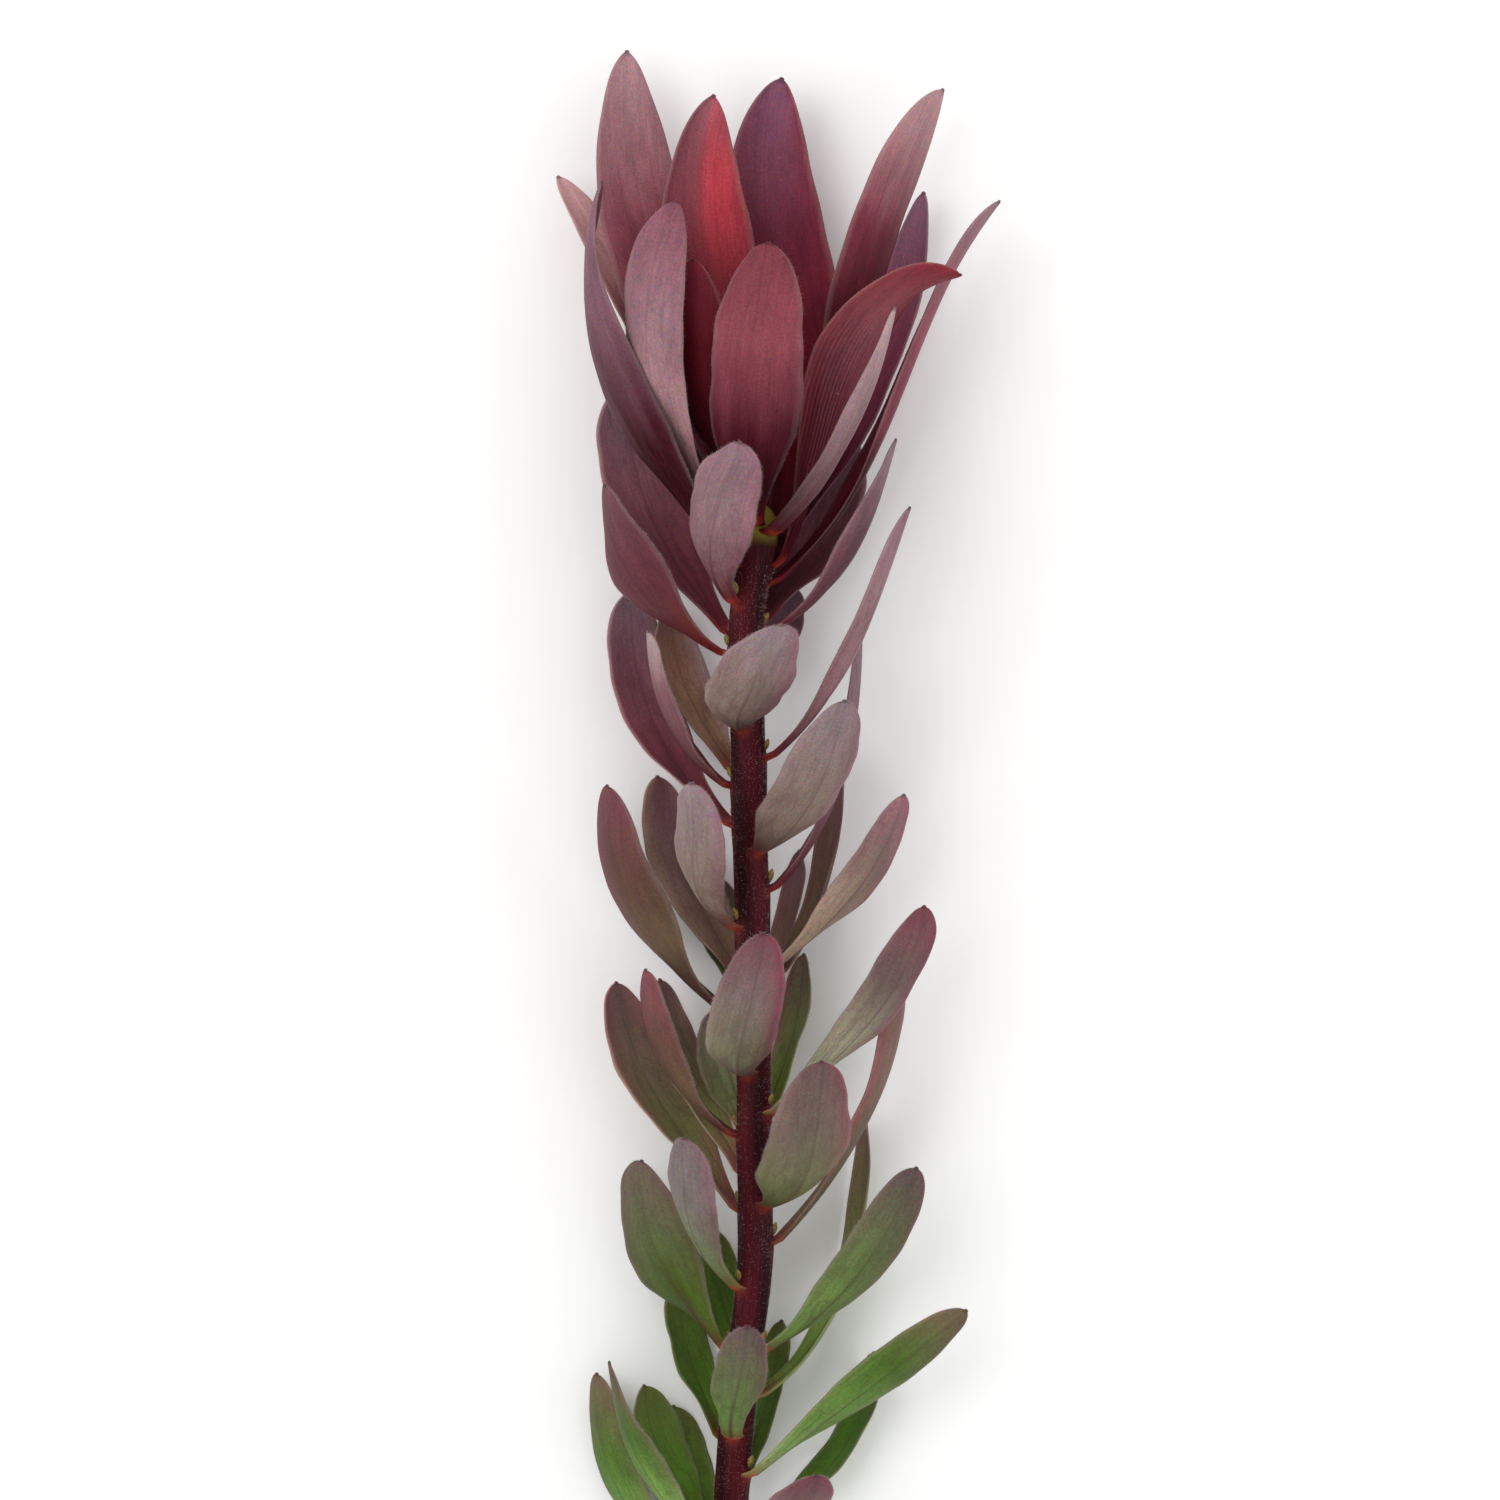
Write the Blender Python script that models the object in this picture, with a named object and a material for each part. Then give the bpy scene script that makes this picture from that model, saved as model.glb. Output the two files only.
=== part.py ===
"""Leucadendron stem: a cut flowering stem that lies on a flat surface.

The stem runs along +Y with its flower head at the far end, +X is to the right when it is
looked down on, and +Z is up. The surface that it lies on is z = 0. Lengths in the tables
below are millimetres and angles are degrees.
"""
import math
from collections import namedtuple

import bmesh
import bpy
from mathutils import Matrix, Vector

MM = 0.001
GAP = 0.3
WELD = 0.001
SHARP_ANGLE = 50.0

# Stem: its middle line from the cut end to the top of the flower's base, as x, y, z.
STEM_ROUTE = (
    (-8.0, -96.0, 2.55),
    (-6.6, -50.0, 8.6),
    (-4.2, 0.0, 15.0),
    (-2.2, 24.0, 17.6),
    (0.6, 46.0, 20.0),
    (1.2, 62.0, 21.6),
    (0.9, 88.0, 24.2),
    (0.4, 132.0, 28.2),
    (-0.4, 163.0, 30.8),
    (-0.9, 190.0, 32.6),
    (0.8, 206.0, 33.6),
    (2.6, 219.0, 34.2),
)
STEM_RADIUS = 3.8
STEM_STEPS = 4
STEM_SIDES = 12
BASE_START = 199.0
BASE_RADIUS = 4.9
BASE_FULL = 209.0
DOME_ROUNDNESS = 2.4
DOME_END = 0.14
CUT_PLACE = 7.6
CUT_SLANT = 38.0
CUT_TURN = 66.0

# Leaf scars on the bare part of the stem, and buds in the angles of the leaves.
# Sizes are across the stem, along it and out from it.
SCAR_START = 11.4
SCAR_SPACING = 6.5
SCAR_TURN = 137.5
SCAR_SIZE = (2.3, 1.1, 0.8)
SCAR_RISE = -0.1
BUD_SIZE = (0.8, 1.7, 0.8)
BUD_RISE = 0.1
BUD_ABOVE_LEAF = 3.4

# Blades: thickness, where they are split, outline and how they bend. Each blade's foot is
# as wide and as curved as the stem asks for, and has lost that by ROOT_END of its length.
BLADE_THICKNESS = 0.7
ROOT_THICKNESS = 1.2
ROOT_THICKNESS_END = 0.3
ROOT_WIDTH = 5.2
ROOT_END = 0.35
ROOT_FADE = 1.5
STATIONS = (0.0, 0.1, 0.22, 0.36, 0.5, 0.63, 0.75, 0.85, 0.93, 0.975, 1.0)
ACROSS = 4
FOOT_SHARE = 0.34
TIP_SHARE = 0.1
TIP_ROUNDNESS = 2.5
FOOT_PULL = 0.38
TIP_PULL = 0.36
ROLL_HALF = 0.5

# One row a blade. attach is how far along the stem it grows, turn is the side it leaves by
# (0 towards +Z, 90 towards +X), tip is where it ends, leave and lean are its angles to the
# stem at its foot and tip, roll is how far the blade has turned about its own length half
# way and at its tip, cup is half the angle that its cross-section bends through, peak is the
# share of its length at which it is widest. taper is the power that its outline ends with:
# ROUND_TIP, or more for a pointed tip.
ROUND_TIP = 0.5
Blade = namedtuple(
    "Blade",
    "name kind attach turn tip width leave lean roll cup peak taper",
    defaults=(ROUND_TIP,),
)

LEAVES = (
    Blade("leaf_front_1", "plum_leaf", 197, -50, (-4, 232, 68), 17.5, 50, 15, (0, 0), 28, 0.6),
    Blade("leaf_front_2", "plum_leaf", 170, -14, (4, 192, 71), 18.5, 80, 25, (0, 0), 28, 0.52),
    Blade("leaf_front_3", "taupe_leaf", 143, 26, (19.5, 175.5, 61), 20, 74, 10, (0, 0), 28, 0.46),
    Blade("leaf_front_4", "taupe_leaf", 94, -20, (2, 125, 64), 16, 82, 15, (0, 0), 30, 0.46),
    Blade("leaf_front_5", "taupe_leaf", 65, 35, (15.5, 97, 56), 21.5, 79, 10, (0, 0), 28, 0.42),
    Blade("leaf_front_6", "green_leaf", 13.5, -8, (-0.6, 39, 54), 12.5, 60, 18, (0, 0), 40, 0.66),
    Blade("leaf_front_7", "green_leaf", -9, 25, (14.5, 6.5, 50), 16, 60, 18, (0, 0), 30, 0.66),
    Blade("leaf_front_left_1", "taupe_leaf", 126, -62, (-12, 157.5, 58), 15, 58, 5, (0, 0), 38, 0.6),
    Blade("leaf_front_left_2", "taupe_leaf", 46, -55, (-14, 80, 50), 15, 56, 6, (0, 0), 38, 0.72),
    Blade("leaf_right_1", "plum_leaf", 191, 94, (32, 233, 35), 13, 60, 12, (-25, -10), 30, 0.5, 0.6),
    Blade("leaf_right_2", "plum_leaf", 163, 85, (35, 218, 38), 11, 52, 22, (-18, -10), 30, 0.55),
    Blade("leaf_right_3", "plum_leaf", 134, 92, (24.5, 189.5, 21), 13, 46, 3, (-20, -20), 30, 0.62),
    Blade("leaf_right_4", "taupe_leaf", 117, 72, (33, 155, 34), 13, 52, 10, (-30, -38), 25, 0.5),
    Blade("leaf_right_5", "taupe_leaf", 85, 64, (37, 130.5, 35), 14.5, 48, 4, (-28, -42), 25, 0.6),
    Blade("leaf_right_6", "green_leaf", 33, 62, (36.5, 73, 32), 14.5, 54, 12, (-32, -48), 25, 0.56),
    Blade("leaf_right_7", "green_leaf", 5, 66, (47.5, 41.5, 28), 13, 48, 45, (-35, -45), 25, 0.6),
    Blade("leaf_back_right_1", "plum_leaf", 193, 138, (19, 238, 7), 18, 50, 2, (35, 30), 25, 0.62, 0.56),
    Blade("leaf_back_right_2", "plum_leaf", 113, 126, (20.5, 168, 11.5), 14, 50, 5, (-20, -20), 25, 0.62),
    Blade("leaf_back_right_3", "taupe_leaf", 101, 172, (11, 142.5, 4.5), 10, 38, 0, (-44, -44), 25, 0.62),
    Blade("leaf_back_right_4", "taupe_leaf", 56, 102, (33.5, 113, 19), 14.5, 44, 2, (-25, -40), 25, 0.6),
    Blade("leaf_back_right_5", "green_leaf", 83, 150, (12, 119.5, 7), 12, 38, 0, (-28, -28), 25, 0.62),
    Blade("leaf_back_right_6", "green_leaf", 22, 116, (25.5, 84, 8), 12, 56, -12, (-12, -12), 25, 0.62),
    Blade("leaf_back_right_7", "green_leaf", -9, 115, (27.5, 31, 5), 14, 60, -8, (0, 0), 25, 0.62),
    Blade("leaf_back_right_8", "green_leaf", 0, 160, (7, 38, 4), 9.5, 34, 0, (-20, -20), 25, 0.62),
    Blade("leaf_left_1", "plum_leaf", 186, -82, (-32, 223, 34), 19, 64, 2, (40, 15), 28, 0.62),
    Blade("leaf_left_2", "plum_leaf", 157, -94, (-22.5, 191, 30), 16, 56, 0, (10, 10), 40, 0.62),
    Blade("leaf_left_3", "taupe_leaf", 106, -96, (-31.5, 157, 28), 24, 54, -8, (34, 34), 32, 0.5),
    Blade("leaf_left_4", "taupe_leaf", 80, -94, (-23, 116.5, 29), 16, 58, -5, (22, 22), 38, 0.62),
    Blade("leaf_left_5", "green_leaf", 32, -72, (-22.5, 73.5, 20), 19.5, 46, -8, (46, 44), 25, 0.56),
    Blade("leaf_left_6", "green_leaf", -8, -115, (-23.5, 24, 11), 16, 46, 5, (-15, -15), 30, 0.62),
    Blade("leaf_left_7", "green_leaf", -12, -66, (-31, 30, 27), 12, 46, 10, (20, -10), 30, 0.36, 0.66),
    Blade("leaf_left_8", "green_leaf", -22, -98, (-34, 26.5, 9), 16, 54, 0, (48, 45), 30, 0.62),
    Blade("leaf_back_left_1", "plum_leaf", 190, -128, (-27, 246, 18), 20, 48, -4, (-30, -30), 25, 0.62),
    Blade("leaf_back_left_2", "plum_leaf", 160, -134, (-18, 196, 7), 15, 42, 0, (0, 0), 25, 0.55),
    Blade("leaf_back_left_3", "plum_leaf", 148, -118, (-26.5, 200, 10), 17, 52, -8, (-20, -20), 25, 0.62),
    Blade("leaf_back_left_4", "taupe_leaf", 113.3, -147, (-20.5, 159, 12), 15, 44, 0, (-10, -10), 25, 0.53),
    Blade("leaf_back_left_5", "taupe_leaf", 63, -112, (-28, 113.5, 12), 20, 36, -5, (-15, -20), 25, 0.5),
    Blade("leaf_back_left_6", "green_leaf", 71, -146, (-20, 114, 12.5), 12, 46, 2, (0, 0), 25, 0.62),
    Blade("leaf_back_left_7", "green_leaf", 80, -160, (-7.5, 107.5, 13), 15, 40, 4, (0, 0), 25, 0.5),
    Blade("leaf_back_left_8", "green_leaf", 28, -165, (-9, 59, 4), 12, 36, 0, (0, 0), 25, 0.62),
    Blade("leaf_back_left_9", "green_leaf", 12, -140, (-15.5, 48, 7), 12, 40, -3, (0, 0), 25, 0.62),
    Blade("leaf_back_left_10", "green_leaf", -16, -148, (-17, 19, 3), 15, 42, 0, (0, 0), 25, 0.62),
    Blade("leaf_back_1", "taupe_leaf", 108, -155, (-8, 137, 7), 12, 38, 0, (0, 0), 25, 0.62),
    Blade("leaf_back_2", "plum_leaf", 174, 165, (9.5, 201, 9), 12, 38, 0, (-20, -20), 25, 0.62),
)

BRACTS = (
    Blade("bract_front_1", "rose_bract", 214.5, -16, (4, 275, 62),
          22.5, 42, -2, (0, 0), 34, 0.5),
    Blade("bract_front_2", "rose_bract", 213, 34, (31.5, 261, 56),
          11, 58, 4, (25, 40), 35, 0.6, 0.55),
    Blade("bract_front_left_1", "rose_bract", 213, -80, (-16, 284.5, 52),
          16, 54, -20, (35, 62), 30, 0.58, 0.58),
    Blade("bract_front_right_1", "rose_bract", 206, 86, (46, 269, 42),
          27, 20, 76, (-26, -20), 26, 0.58, 0.55),
    Blade("bract_left_1", "rose_bract", 205, -62, (-32.5, 289.5, 40),
          16, 48, -14, (24, -25), 34, 0.36, 0.58),
    Blade("bract_left_2", "rose_bract", 202, -148, (-42.5, 292, 9),
          14.5, 32, 44, (0, 0), 28, 0.5, 0.55),
    Blade("bract_right_1", "rose_bract", 202, 108, (55, 286, 20),
          15.5, 46, 34, (-15, -30), 30, 0.5, 0.56),
    Blade("bract_back_right_1", "rose_bract", 207.5, 142, (38.5, 288.5, 8),
          14, 42, 0, (0, 0), 28, 0.5, 0.56),
    Blade("bract_back_right_2", "rose_bract", 214, 100, (42.5, 310.5, 24),
          23, 20, 24, (-40, -45), 28, 0.5, 0.6),
    Blade("bract_back_left_1", "rose_bract", 209, -130, (-27.2, 319.5, 14),
          22, 22, 3, (-30, -30), 28, 0.5, 0.6),
    Blade("bract_back_1", "crimson_bract", 216.5, -165, (-8, 309, 27),
          23.5, 30, -12, (0, 0), 34, 0.5, 0.64),
    Blade("bract_back_2", "crimson_bract", 210.5, 148, (7, 313.5, 14),
          24.5, 40, -14, (15, 15), 30, 0.5, 0.6),
    Blade("bract_inner_1", "crimson_bract", 217, -40, (-12.5, 272, 46),
          17, 32, 0, (25, 20), 30, 0.5, 0.5),
    Blade("bract_back_3", "rose_bract", 197, 176, (-3, 294, 1.2),
          18, 42, -4, (0, 0), 28, 0.5, 0.6),
)

# Each kind's colour (linear red, green, blue) and roughness.
FINISHES = {
    "stem_bark": ((0.09, 0.012, 0.02), 0.6),
    "green_leaf": ((0.11, 0.2, 0.06), 0.5),
    "taupe_leaf": ((0.24, 0.19, 0.16), 0.55),
    "plum_leaf": ((0.2, 0.1, 0.11), 0.55),
    "rose_bract": ((0.28, 0.09, 0.11), 0.5),
    "crimson_bract": ((0.3, 0.02, 0.03), 0.45),
}


def clear_scene():
    for thing in list(bpy.data.objects):
        bpy.data.objects.remove(thing, do_unlink=True)


def make_collection(name):
    group = bpy.data.collections.new(name)
    bpy.context.scene.collection.children.link(group)
    return group


def make_finish(name):
    colour, roughness = FINISHES[name]
    finish = bpy.data.materials.new(name)
    finish.use_nodes = True
    shader = finish.node_tree.nodes["Principled BSDF"]
    shader.inputs["Base Color"].default_value = (*colour, 1.0)
    shader.inputs["Roughness"].default_value = roughness
    shader.inputs["Metallic"].default_value = 0.0
    return finish


# Curves through given values

def smooth_between(before, start, end, after, share):
    """Catmull-Rom value between start and end, for numbers and for vectors."""
    square = share * share
    cube = square * share
    return 0.5 * (
        start * 2.0
        + (end - before) * share
        + (before * 2.0 - start * 5.0 + end * 4.0 - after) * square
        + (start * 3.0 - before - end * 3.0 + after) * cube
    )


def ease(share):
    """Runs smoothly from 0 to 1 as share does."""
    share = min(max(share, 0.0), 1.0)
    return share * share * (3.0 - 2.0 * share)


def outline_at(blade, share):
    """Width of a blade as a share of its full width, at a share of its length."""
    if share < blade.peak:
        swell = math.sin(0.5 * math.pi * share / blade.peak) ** (2.0 * blade.peak)
        return FOOT_SHARE + (1.0 - FOOT_SHARE) * swell
    beyond = (share - blade.peak) / (1.0 - blade.peak)
    return max((1.0 - beyond ** TIP_ROUNDNESS) ** blade.taper, TIP_SHARE)


def stem_points():
    """Evenly spread points along the stem's middle line."""
    knots = [Vector(point) for point in STEM_ROUTE]
    points = []
    for index in range(len(knots) - 1):
        before = knots[max(index - 1, 0)]
        after = knots[min(index + 2, len(knots) - 1)]
        for step in range(STEM_STEPS):
            points.append(smooth_between(before, knots[index], knots[index + 1], after, step / STEM_STEPS))
    points.append(knots[-1])
    return points


def stem_frame(along):
    """The stem's middle, direction, side and top at a distance along +Y."""
    points = stem_points()
    index = 0
    while index < len(points) - 2 and points[index + 1].y < along:
        index += 1
    start, end = points[index], points[index + 1]
    middle = start.lerp(end, (along - start.y) / (end.y - start.y))
    direction = (end - start).normalized()
    side = direction.cross(Vector((0.0, 0.0, 1.0))).normalized()
    top = side.cross(direction)
    return middle, direction, side, top


def stem_radius(along):
    """The stem widens into the flower's base and closes over it in a dome."""
    end = STEM_ROUTE[-1][1]
    if along <= BASE_START:
        return STEM_RADIUS
    if along <= BASE_FULL:
        share = (along - BASE_START) / (BASE_FULL - BASE_START)
        return STEM_RADIUS + (BASE_RADIUS - STEM_RADIUS) * ease(share)
    share = (along - BASE_FULL) / (end - BASE_FULL)
    return BASE_RADIUS * max(math.sqrt(1.0 - min(share, 1.0) ** DOME_ROUNDNESS), DOME_END)


# Stem

def stem_tube():
    """A round tube along the stem's middle line, as a mesh in a bmesh."""
    curve = bpy.data.curves.new("stem_line", "CURVE")
    curve.dimensions = "3D"
    curve.bevel_depth = MM
    curve.bevel_resolution = STEM_SIDES // 4
    curve.use_fill_caps = True
    points = stem_points()
    spline = curve.splines.new("POLY")
    spline.points.add(len(points) - 1)
    for spot, point in zip(spline.points, points):
        spot.co = (*(point * MM), 1.0)
        spot.radius = stem_radius(point.y)
    guide = bpy.data.objects.new("stem_line", curve)
    bpy.context.scene.collection.objects.link(guide)
    bpy.context.view_layer.update()
    mesh = bpy.data.meshes.new_from_object(guide.evaluated_get(bpy.context.evaluated_depsgraph_get()))
    bpy.data.objects.remove(guide, do_unlink=True)
    body = bmesh.new()
    body.from_mesh(mesh)
    bmesh.ops.remove_doubles(body, verts=body.verts, dist=WELD * MM)
    bpy.data.meshes.remove(mesh)
    return body


def cut_end(body):
    """Cuts the lower end off on a slant, as a knife leaves it."""
    middle, direction, side, top = stem_frame(STEM_ROUTE[0][1] + CUT_PLACE)
    slant = math.radians(CUT_SLANT)
    turn = math.radians(CUT_TURN)
    normal = direction * math.cos(slant) + (top * math.cos(turn) + side * math.sin(turn)) * math.sin(slant)
    everything = body.verts[:] + body.edges[:] + body.faces[:]
    cut = bmesh.ops.bisect_plane(
        body, geom=everything, plane_co=middle * MM, plane_no=normal, clear_inner=True
    )
    rim = [item for item in cut["geom_cut"] if isinstance(item, bmesh.types.BMEdge)]
    bmesh.ops.edgeloop_fill(body, edges=rim)
    bmesh.ops.recalc_face_normals(body, faces=body.faces)


def bump(name, along, turn, size, rise, group):
    """A small rounded swelling on the stem's side, size being across, along and out."""
    middle, direction, side, top = stem_frame(along)
    angle = math.radians(turn)
    outward = top * math.cos(angle) + side * math.sin(angle)
    across = direction.cross(outward)
    centre = middle + outward * (stem_radius(along) + rise)
    frame = Matrix((across * size[0], direction * size[1], outward * size[2])).transposed().to_4x4()
    body = bmesh.new()
    bmesh.ops.create_icosphere(body, subdivisions=1, radius=MM)
    body.transform(Matrix.Translation(centre * MM) @ frame)
    bmesh.ops.recalc_face_normals(body, faces=body.faces)
    mesh = bpy.data.meshes.new(name)
    body.to_mesh(mesh)
    body.free()
    group.objects.link(bpy.data.objects.new(name, mesh))


def make_stem(group):
    body = stem_tube()
    cut_end(body)
    mesh = bpy.data.meshes.new("stem")
    body.to_mesh(mesh)
    body.free()
    stem = bpy.data.objects.new("stem", mesh)
    group.objects.link(stem)
    growths = make_collection("growths on the stem")
    lowest_leaf = min(leaf.attach for leaf in LEAVES)
    along = STEM_ROUTE[0][1] + SCAR_START
    turn = 0.0
    while along < lowest_leaf - SCAR_SPACING:
        bump("scar", along, turn, SCAR_SIZE, SCAR_RISE, growths)
        along += SCAR_SPACING
        turn += SCAR_TURN
    for leaf in LEAVES:
        bump("bud", leaf.attach + BUD_ABOVE_LEAF, leaf.turn, BUD_SIZE, BUD_RISE, growths)
    union = stem.modifiers.new("growths", "BOOLEAN")
    union.operation = "UNION"
    union.operand_type = "COLLECTION"
    union.collection = growths
    bpy.context.view_layer.update()
    joined = bpy.data.meshes.new_from_object(stem.evaluated_get(bpy.context.evaluated_depsgraph_get()))
    stem.modifiers.clear()
    stem.data = joined
    for growth in list(growths.objects):
        bpy.data.objects.remove(growth, do_unlink=True)
    bpy.data.collections.remove(growths)
    stem.data.materials.clear()
    stem.data.materials.append(make_finish("stem_bark"))
    stem.data.shade_smooth()
    stem.data.set_sharp_from_angle(angle=math.radians(SHARP_ANGLE))


# Blades

def midrib(blade):
    """The four control points of the blade's middle line, and the stem's frame at its foot."""
    middle, direction, side, top = stem_frame(blade.attach)
    angle = math.radians(blade.turn)
    outward = top * math.cos(angle) + side * math.sin(angle)
    foot = middle + outward * (stem_radius(blade.attach) + GAP + 0.5 * ROOT_THICKNESS)
    tip = Vector(blade.tip)
    chord = tip - foot
    away = (chord - direction * chord.dot(direction)).normalized()
    leave = math.radians(blade.leave)
    lean = math.radians(blade.lean)
    first = foot + (direction * math.cos(leave) + outward * math.sin(leave)) * chord.length * FOOT_PULL
    second = tip - (direction * math.cos(lean) + away * math.sin(lean)) * chord.length * TIP_PULL
    return (foot, first, second, tip), outward


def on_midrib(points, share):
    """A point of the middle line and its direction there."""
    rest = 1.0 - share
    start, first, second, end = points
    place = (
        start * rest ** 3
        + first * (3.0 * rest * rest * share)
        + second * (3.0 * rest * share * share)
        + end * share ** 3
    )
    direction = (
        (first - start) * (rest * rest)
        + (second - first) * (2.0 * rest * share)
        + (end - second) * (share * share)
    )
    return place, direction.normalized()


def roll_at(blade, share):
    """How far the blade has turned about its own length, in radians."""
    half, full = blade.roll
    rolled = half * ease(share / ROLL_HALF) + (full - half) * ease((share - ROLL_HALF) / (1.0 - ROLL_HALF))
    return math.radians(rolled)


def blade_rows(blade, stations, across):
    """Rows of points across the blade's outer and inner faces, from foot to tip."""
    points, outward = midrib(blade)
    root_cup = ROOT_WIDTH * 0.5 / (stem_radius(blade.attach) + GAP + 0.5 * ROOT_THICKNESS)
    outer_rows, inner_rows = [], []
    normal = outward
    for share in stations:
        place, along = on_midrib(points, share)
        normal = (normal - along * normal.dot(along)).normalized()
        turned = Matrix.Rotation(roll_at(blade, share), 3, along) @ normal
        lateral = along.cross(turned)
        root = max(1.0 - share / ROOT_END, 0.0) ** ROOT_FADE
        width = blade.width * outline_at(blade, share) * (1.0 - root) + ROOT_WIDTH * root
        cup = math.radians(blade.cup) * (1.0 - root) + root_cup * root
        thick = BLADE_THICKNESS
        if share < ROOT_THICKNESS_END:
            thick += (ROOT_THICKNESS - BLADE_THICKNESS) * (1.0 - share / ROOT_THICKNESS_END)
        outer, inner = [], []
        for step in range(across + 1):
            bend = cup * (2.0 * step / across - 1.0)
            radius = 0.5 * width / cup
            spot = place + lateral * (radius * math.sin(bend)) - turned * (radius * (1.0 - math.cos(bend)))
            facing = turned * math.cos(bend) + lateral * math.sin(bend)
            high = spot + facing * (0.5 * thick)
            low = spot - facing * (0.5 * thick)
            lift = max(0.0, -min(high.z, low.z))
            outer.append(high + Vector((0.0, 0.0, lift)))
            inner.append(low + Vector((0.0, 0.0, lift)))
        outer_rows.append(outer)
        inner_rows.append(inner)
    return outer_rows, inner_rows


def make_blade(blade, finish, group):
    """One closed thin body, with both faces split into triangles alike."""
    outer_rows, inner_rows = blade_rows(blade, STATIONS, ACROSS)
    foot = outer_rows[0][ACROSS // 2]
    body = bmesh.new()
    outer = [[body.verts.new((spot - foot) * MM) for spot in row] for row in outer_rows]
    inner = [[body.verts.new((spot - foot) * MM) for spot in row] for row in inner_rows]
    for row in range(len(STATIONS) - 1):
        for step in range(ACROSS):
            for face in (outer, inner):
                a, b = face[row][step], face[row][step + 1]
                c, d = face[row + 1][step + 1], face[row + 1][step]
                body.faces.new((a, b, c))
                body.faces.new((a, c, d))
        for edge in (0, ACROSS):
            body.faces.new((outer[row][edge], outer[row + 1][edge], inner[row + 1][edge]))
            body.faces.new((outer[row][edge], inner[row + 1][edge], inner[row][edge]))
    for row in (0, len(STATIONS) - 1):
        for step in range(ACROSS):
            body.faces.new((outer[row][step], outer[row][step + 1], inner[row][step + 1], inner[row][step]))
    bmesh.ops.recalc_face_normals(body, faces=body.faces)
    mesh = bpy.data.meshes.new(blade.name)
    body.to_mesh(mesh)
    body.free()
    mesh.materials.append(finish)
    mesh.shade_smooth()
    mesh.set_sharp_from_angle(angle=math.radians(SHARP_ANGLE))
    leaf = bpy.data.objects.new(blade.name, mesh)
    leaf.location = foot * MM
    group.objects.link(leaf)


def centre_on_surface(group):
    """Sets the model's origin in the middle of its box, on the surface that it lies on."""
    corners = [piece.location + Vector(corner) for piece in group.objects for corner in piece.bound_box]
    low = Vector([min(corner[axis] for corner in corners) for axis in range(3)])
    high = Vector([max(corner[axis] for corner in corners) for axis in range(3)])
    for piece in group.objects:
        piece.location -= Vector((0.5 * (low.x + high.x), 0.5 * (low.y + high.y), low.z))


def main():
    clear_scene()
    group = make_collection("leucadendron stem")
    make_stem(group)
    finishes = {kind: make_finish(kind) for kind in FINISHES if kind != "stem_bark"}
    for blade in LEAVES + BRACTS:
        make_blade(blade, finishes[blade.kind], group)
    centre_on_surface(group)


if __name__ == "__main__":
    main()
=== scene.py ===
"""Leucadendron stem, dressed: a cut flowering stem that lies on a pale floor and is looked down on.

The stem runs along +Y to its flower head, +X is to the right and +Z is up. The tables give
millimetres and degrees in the plan that the solids are drawn in, and `Plan` moves that plan
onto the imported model. Every leaf, bract and the stem itself stands in for its own solid, in
the same place, with the finer form and the finish that the living plant has.
"""

import logging
import math
import random
from collections.abc import Iterator, Sequence
from dataclasses import dataclass, field
from enum import Enum

import bmesh
import bpy
import numpy as np
from mathutils import Matrix, Vector

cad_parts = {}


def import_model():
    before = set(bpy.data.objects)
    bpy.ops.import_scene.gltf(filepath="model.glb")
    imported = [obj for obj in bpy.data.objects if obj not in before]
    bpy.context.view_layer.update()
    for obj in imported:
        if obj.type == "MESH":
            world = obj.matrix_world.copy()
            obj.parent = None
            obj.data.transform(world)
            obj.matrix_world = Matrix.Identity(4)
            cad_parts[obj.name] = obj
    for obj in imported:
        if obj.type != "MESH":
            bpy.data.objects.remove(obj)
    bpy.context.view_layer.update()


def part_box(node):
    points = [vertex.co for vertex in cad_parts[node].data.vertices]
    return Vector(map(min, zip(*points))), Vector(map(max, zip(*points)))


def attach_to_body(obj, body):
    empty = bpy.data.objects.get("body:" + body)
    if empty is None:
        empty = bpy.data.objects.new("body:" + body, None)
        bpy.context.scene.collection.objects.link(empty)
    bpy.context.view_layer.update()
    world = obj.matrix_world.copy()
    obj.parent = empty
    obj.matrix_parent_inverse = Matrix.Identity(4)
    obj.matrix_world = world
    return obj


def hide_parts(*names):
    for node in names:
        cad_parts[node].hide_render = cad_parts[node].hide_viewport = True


LOG = logging.getLogger("leucadendron_stem")

MM = 0.001
BODY = "root"

Colour = tuple[float, float, float]


def linear(code: str) -> Colour:
    """Turns an sRGB colour into the linear values that shaders work in.

    Args:
        code: The colour as six hexadecimal digits after a hash sign.

    Returns:
        Linear red, green and blue from 0 to 1.
    """
    channels = [int(code[index:index + 2], 16) / 255.0 for index in (1, 3, 5)]
    return tuple(
        value / 12.92 if value <= 0.04045 else ((value + 0.055) / 1.055) ** 2.4
        for value in channels
    )


def opaque(code: str) -> tuple[float, float, float, float]:
    """An sRGB hex colour as a node's colour input takes it: linear, with full alpha."""
    return (*linear(code), 1.0)


def ease(share: float) -> float:
    """Runs smoothly from 0 to 1 while share does, and stays level beyond."""
    share = min(max(share, 0.0), 1.0)
    return share * share * (3.0 - 2.0 * share)


def blend(start: Colour, end: Colour, share: float) -> Colour:
    """Mixes two linear colours, with a share of end in the mix."""
    return tuple(a + (b - a) * share for a, b in zip(start, end))


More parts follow.
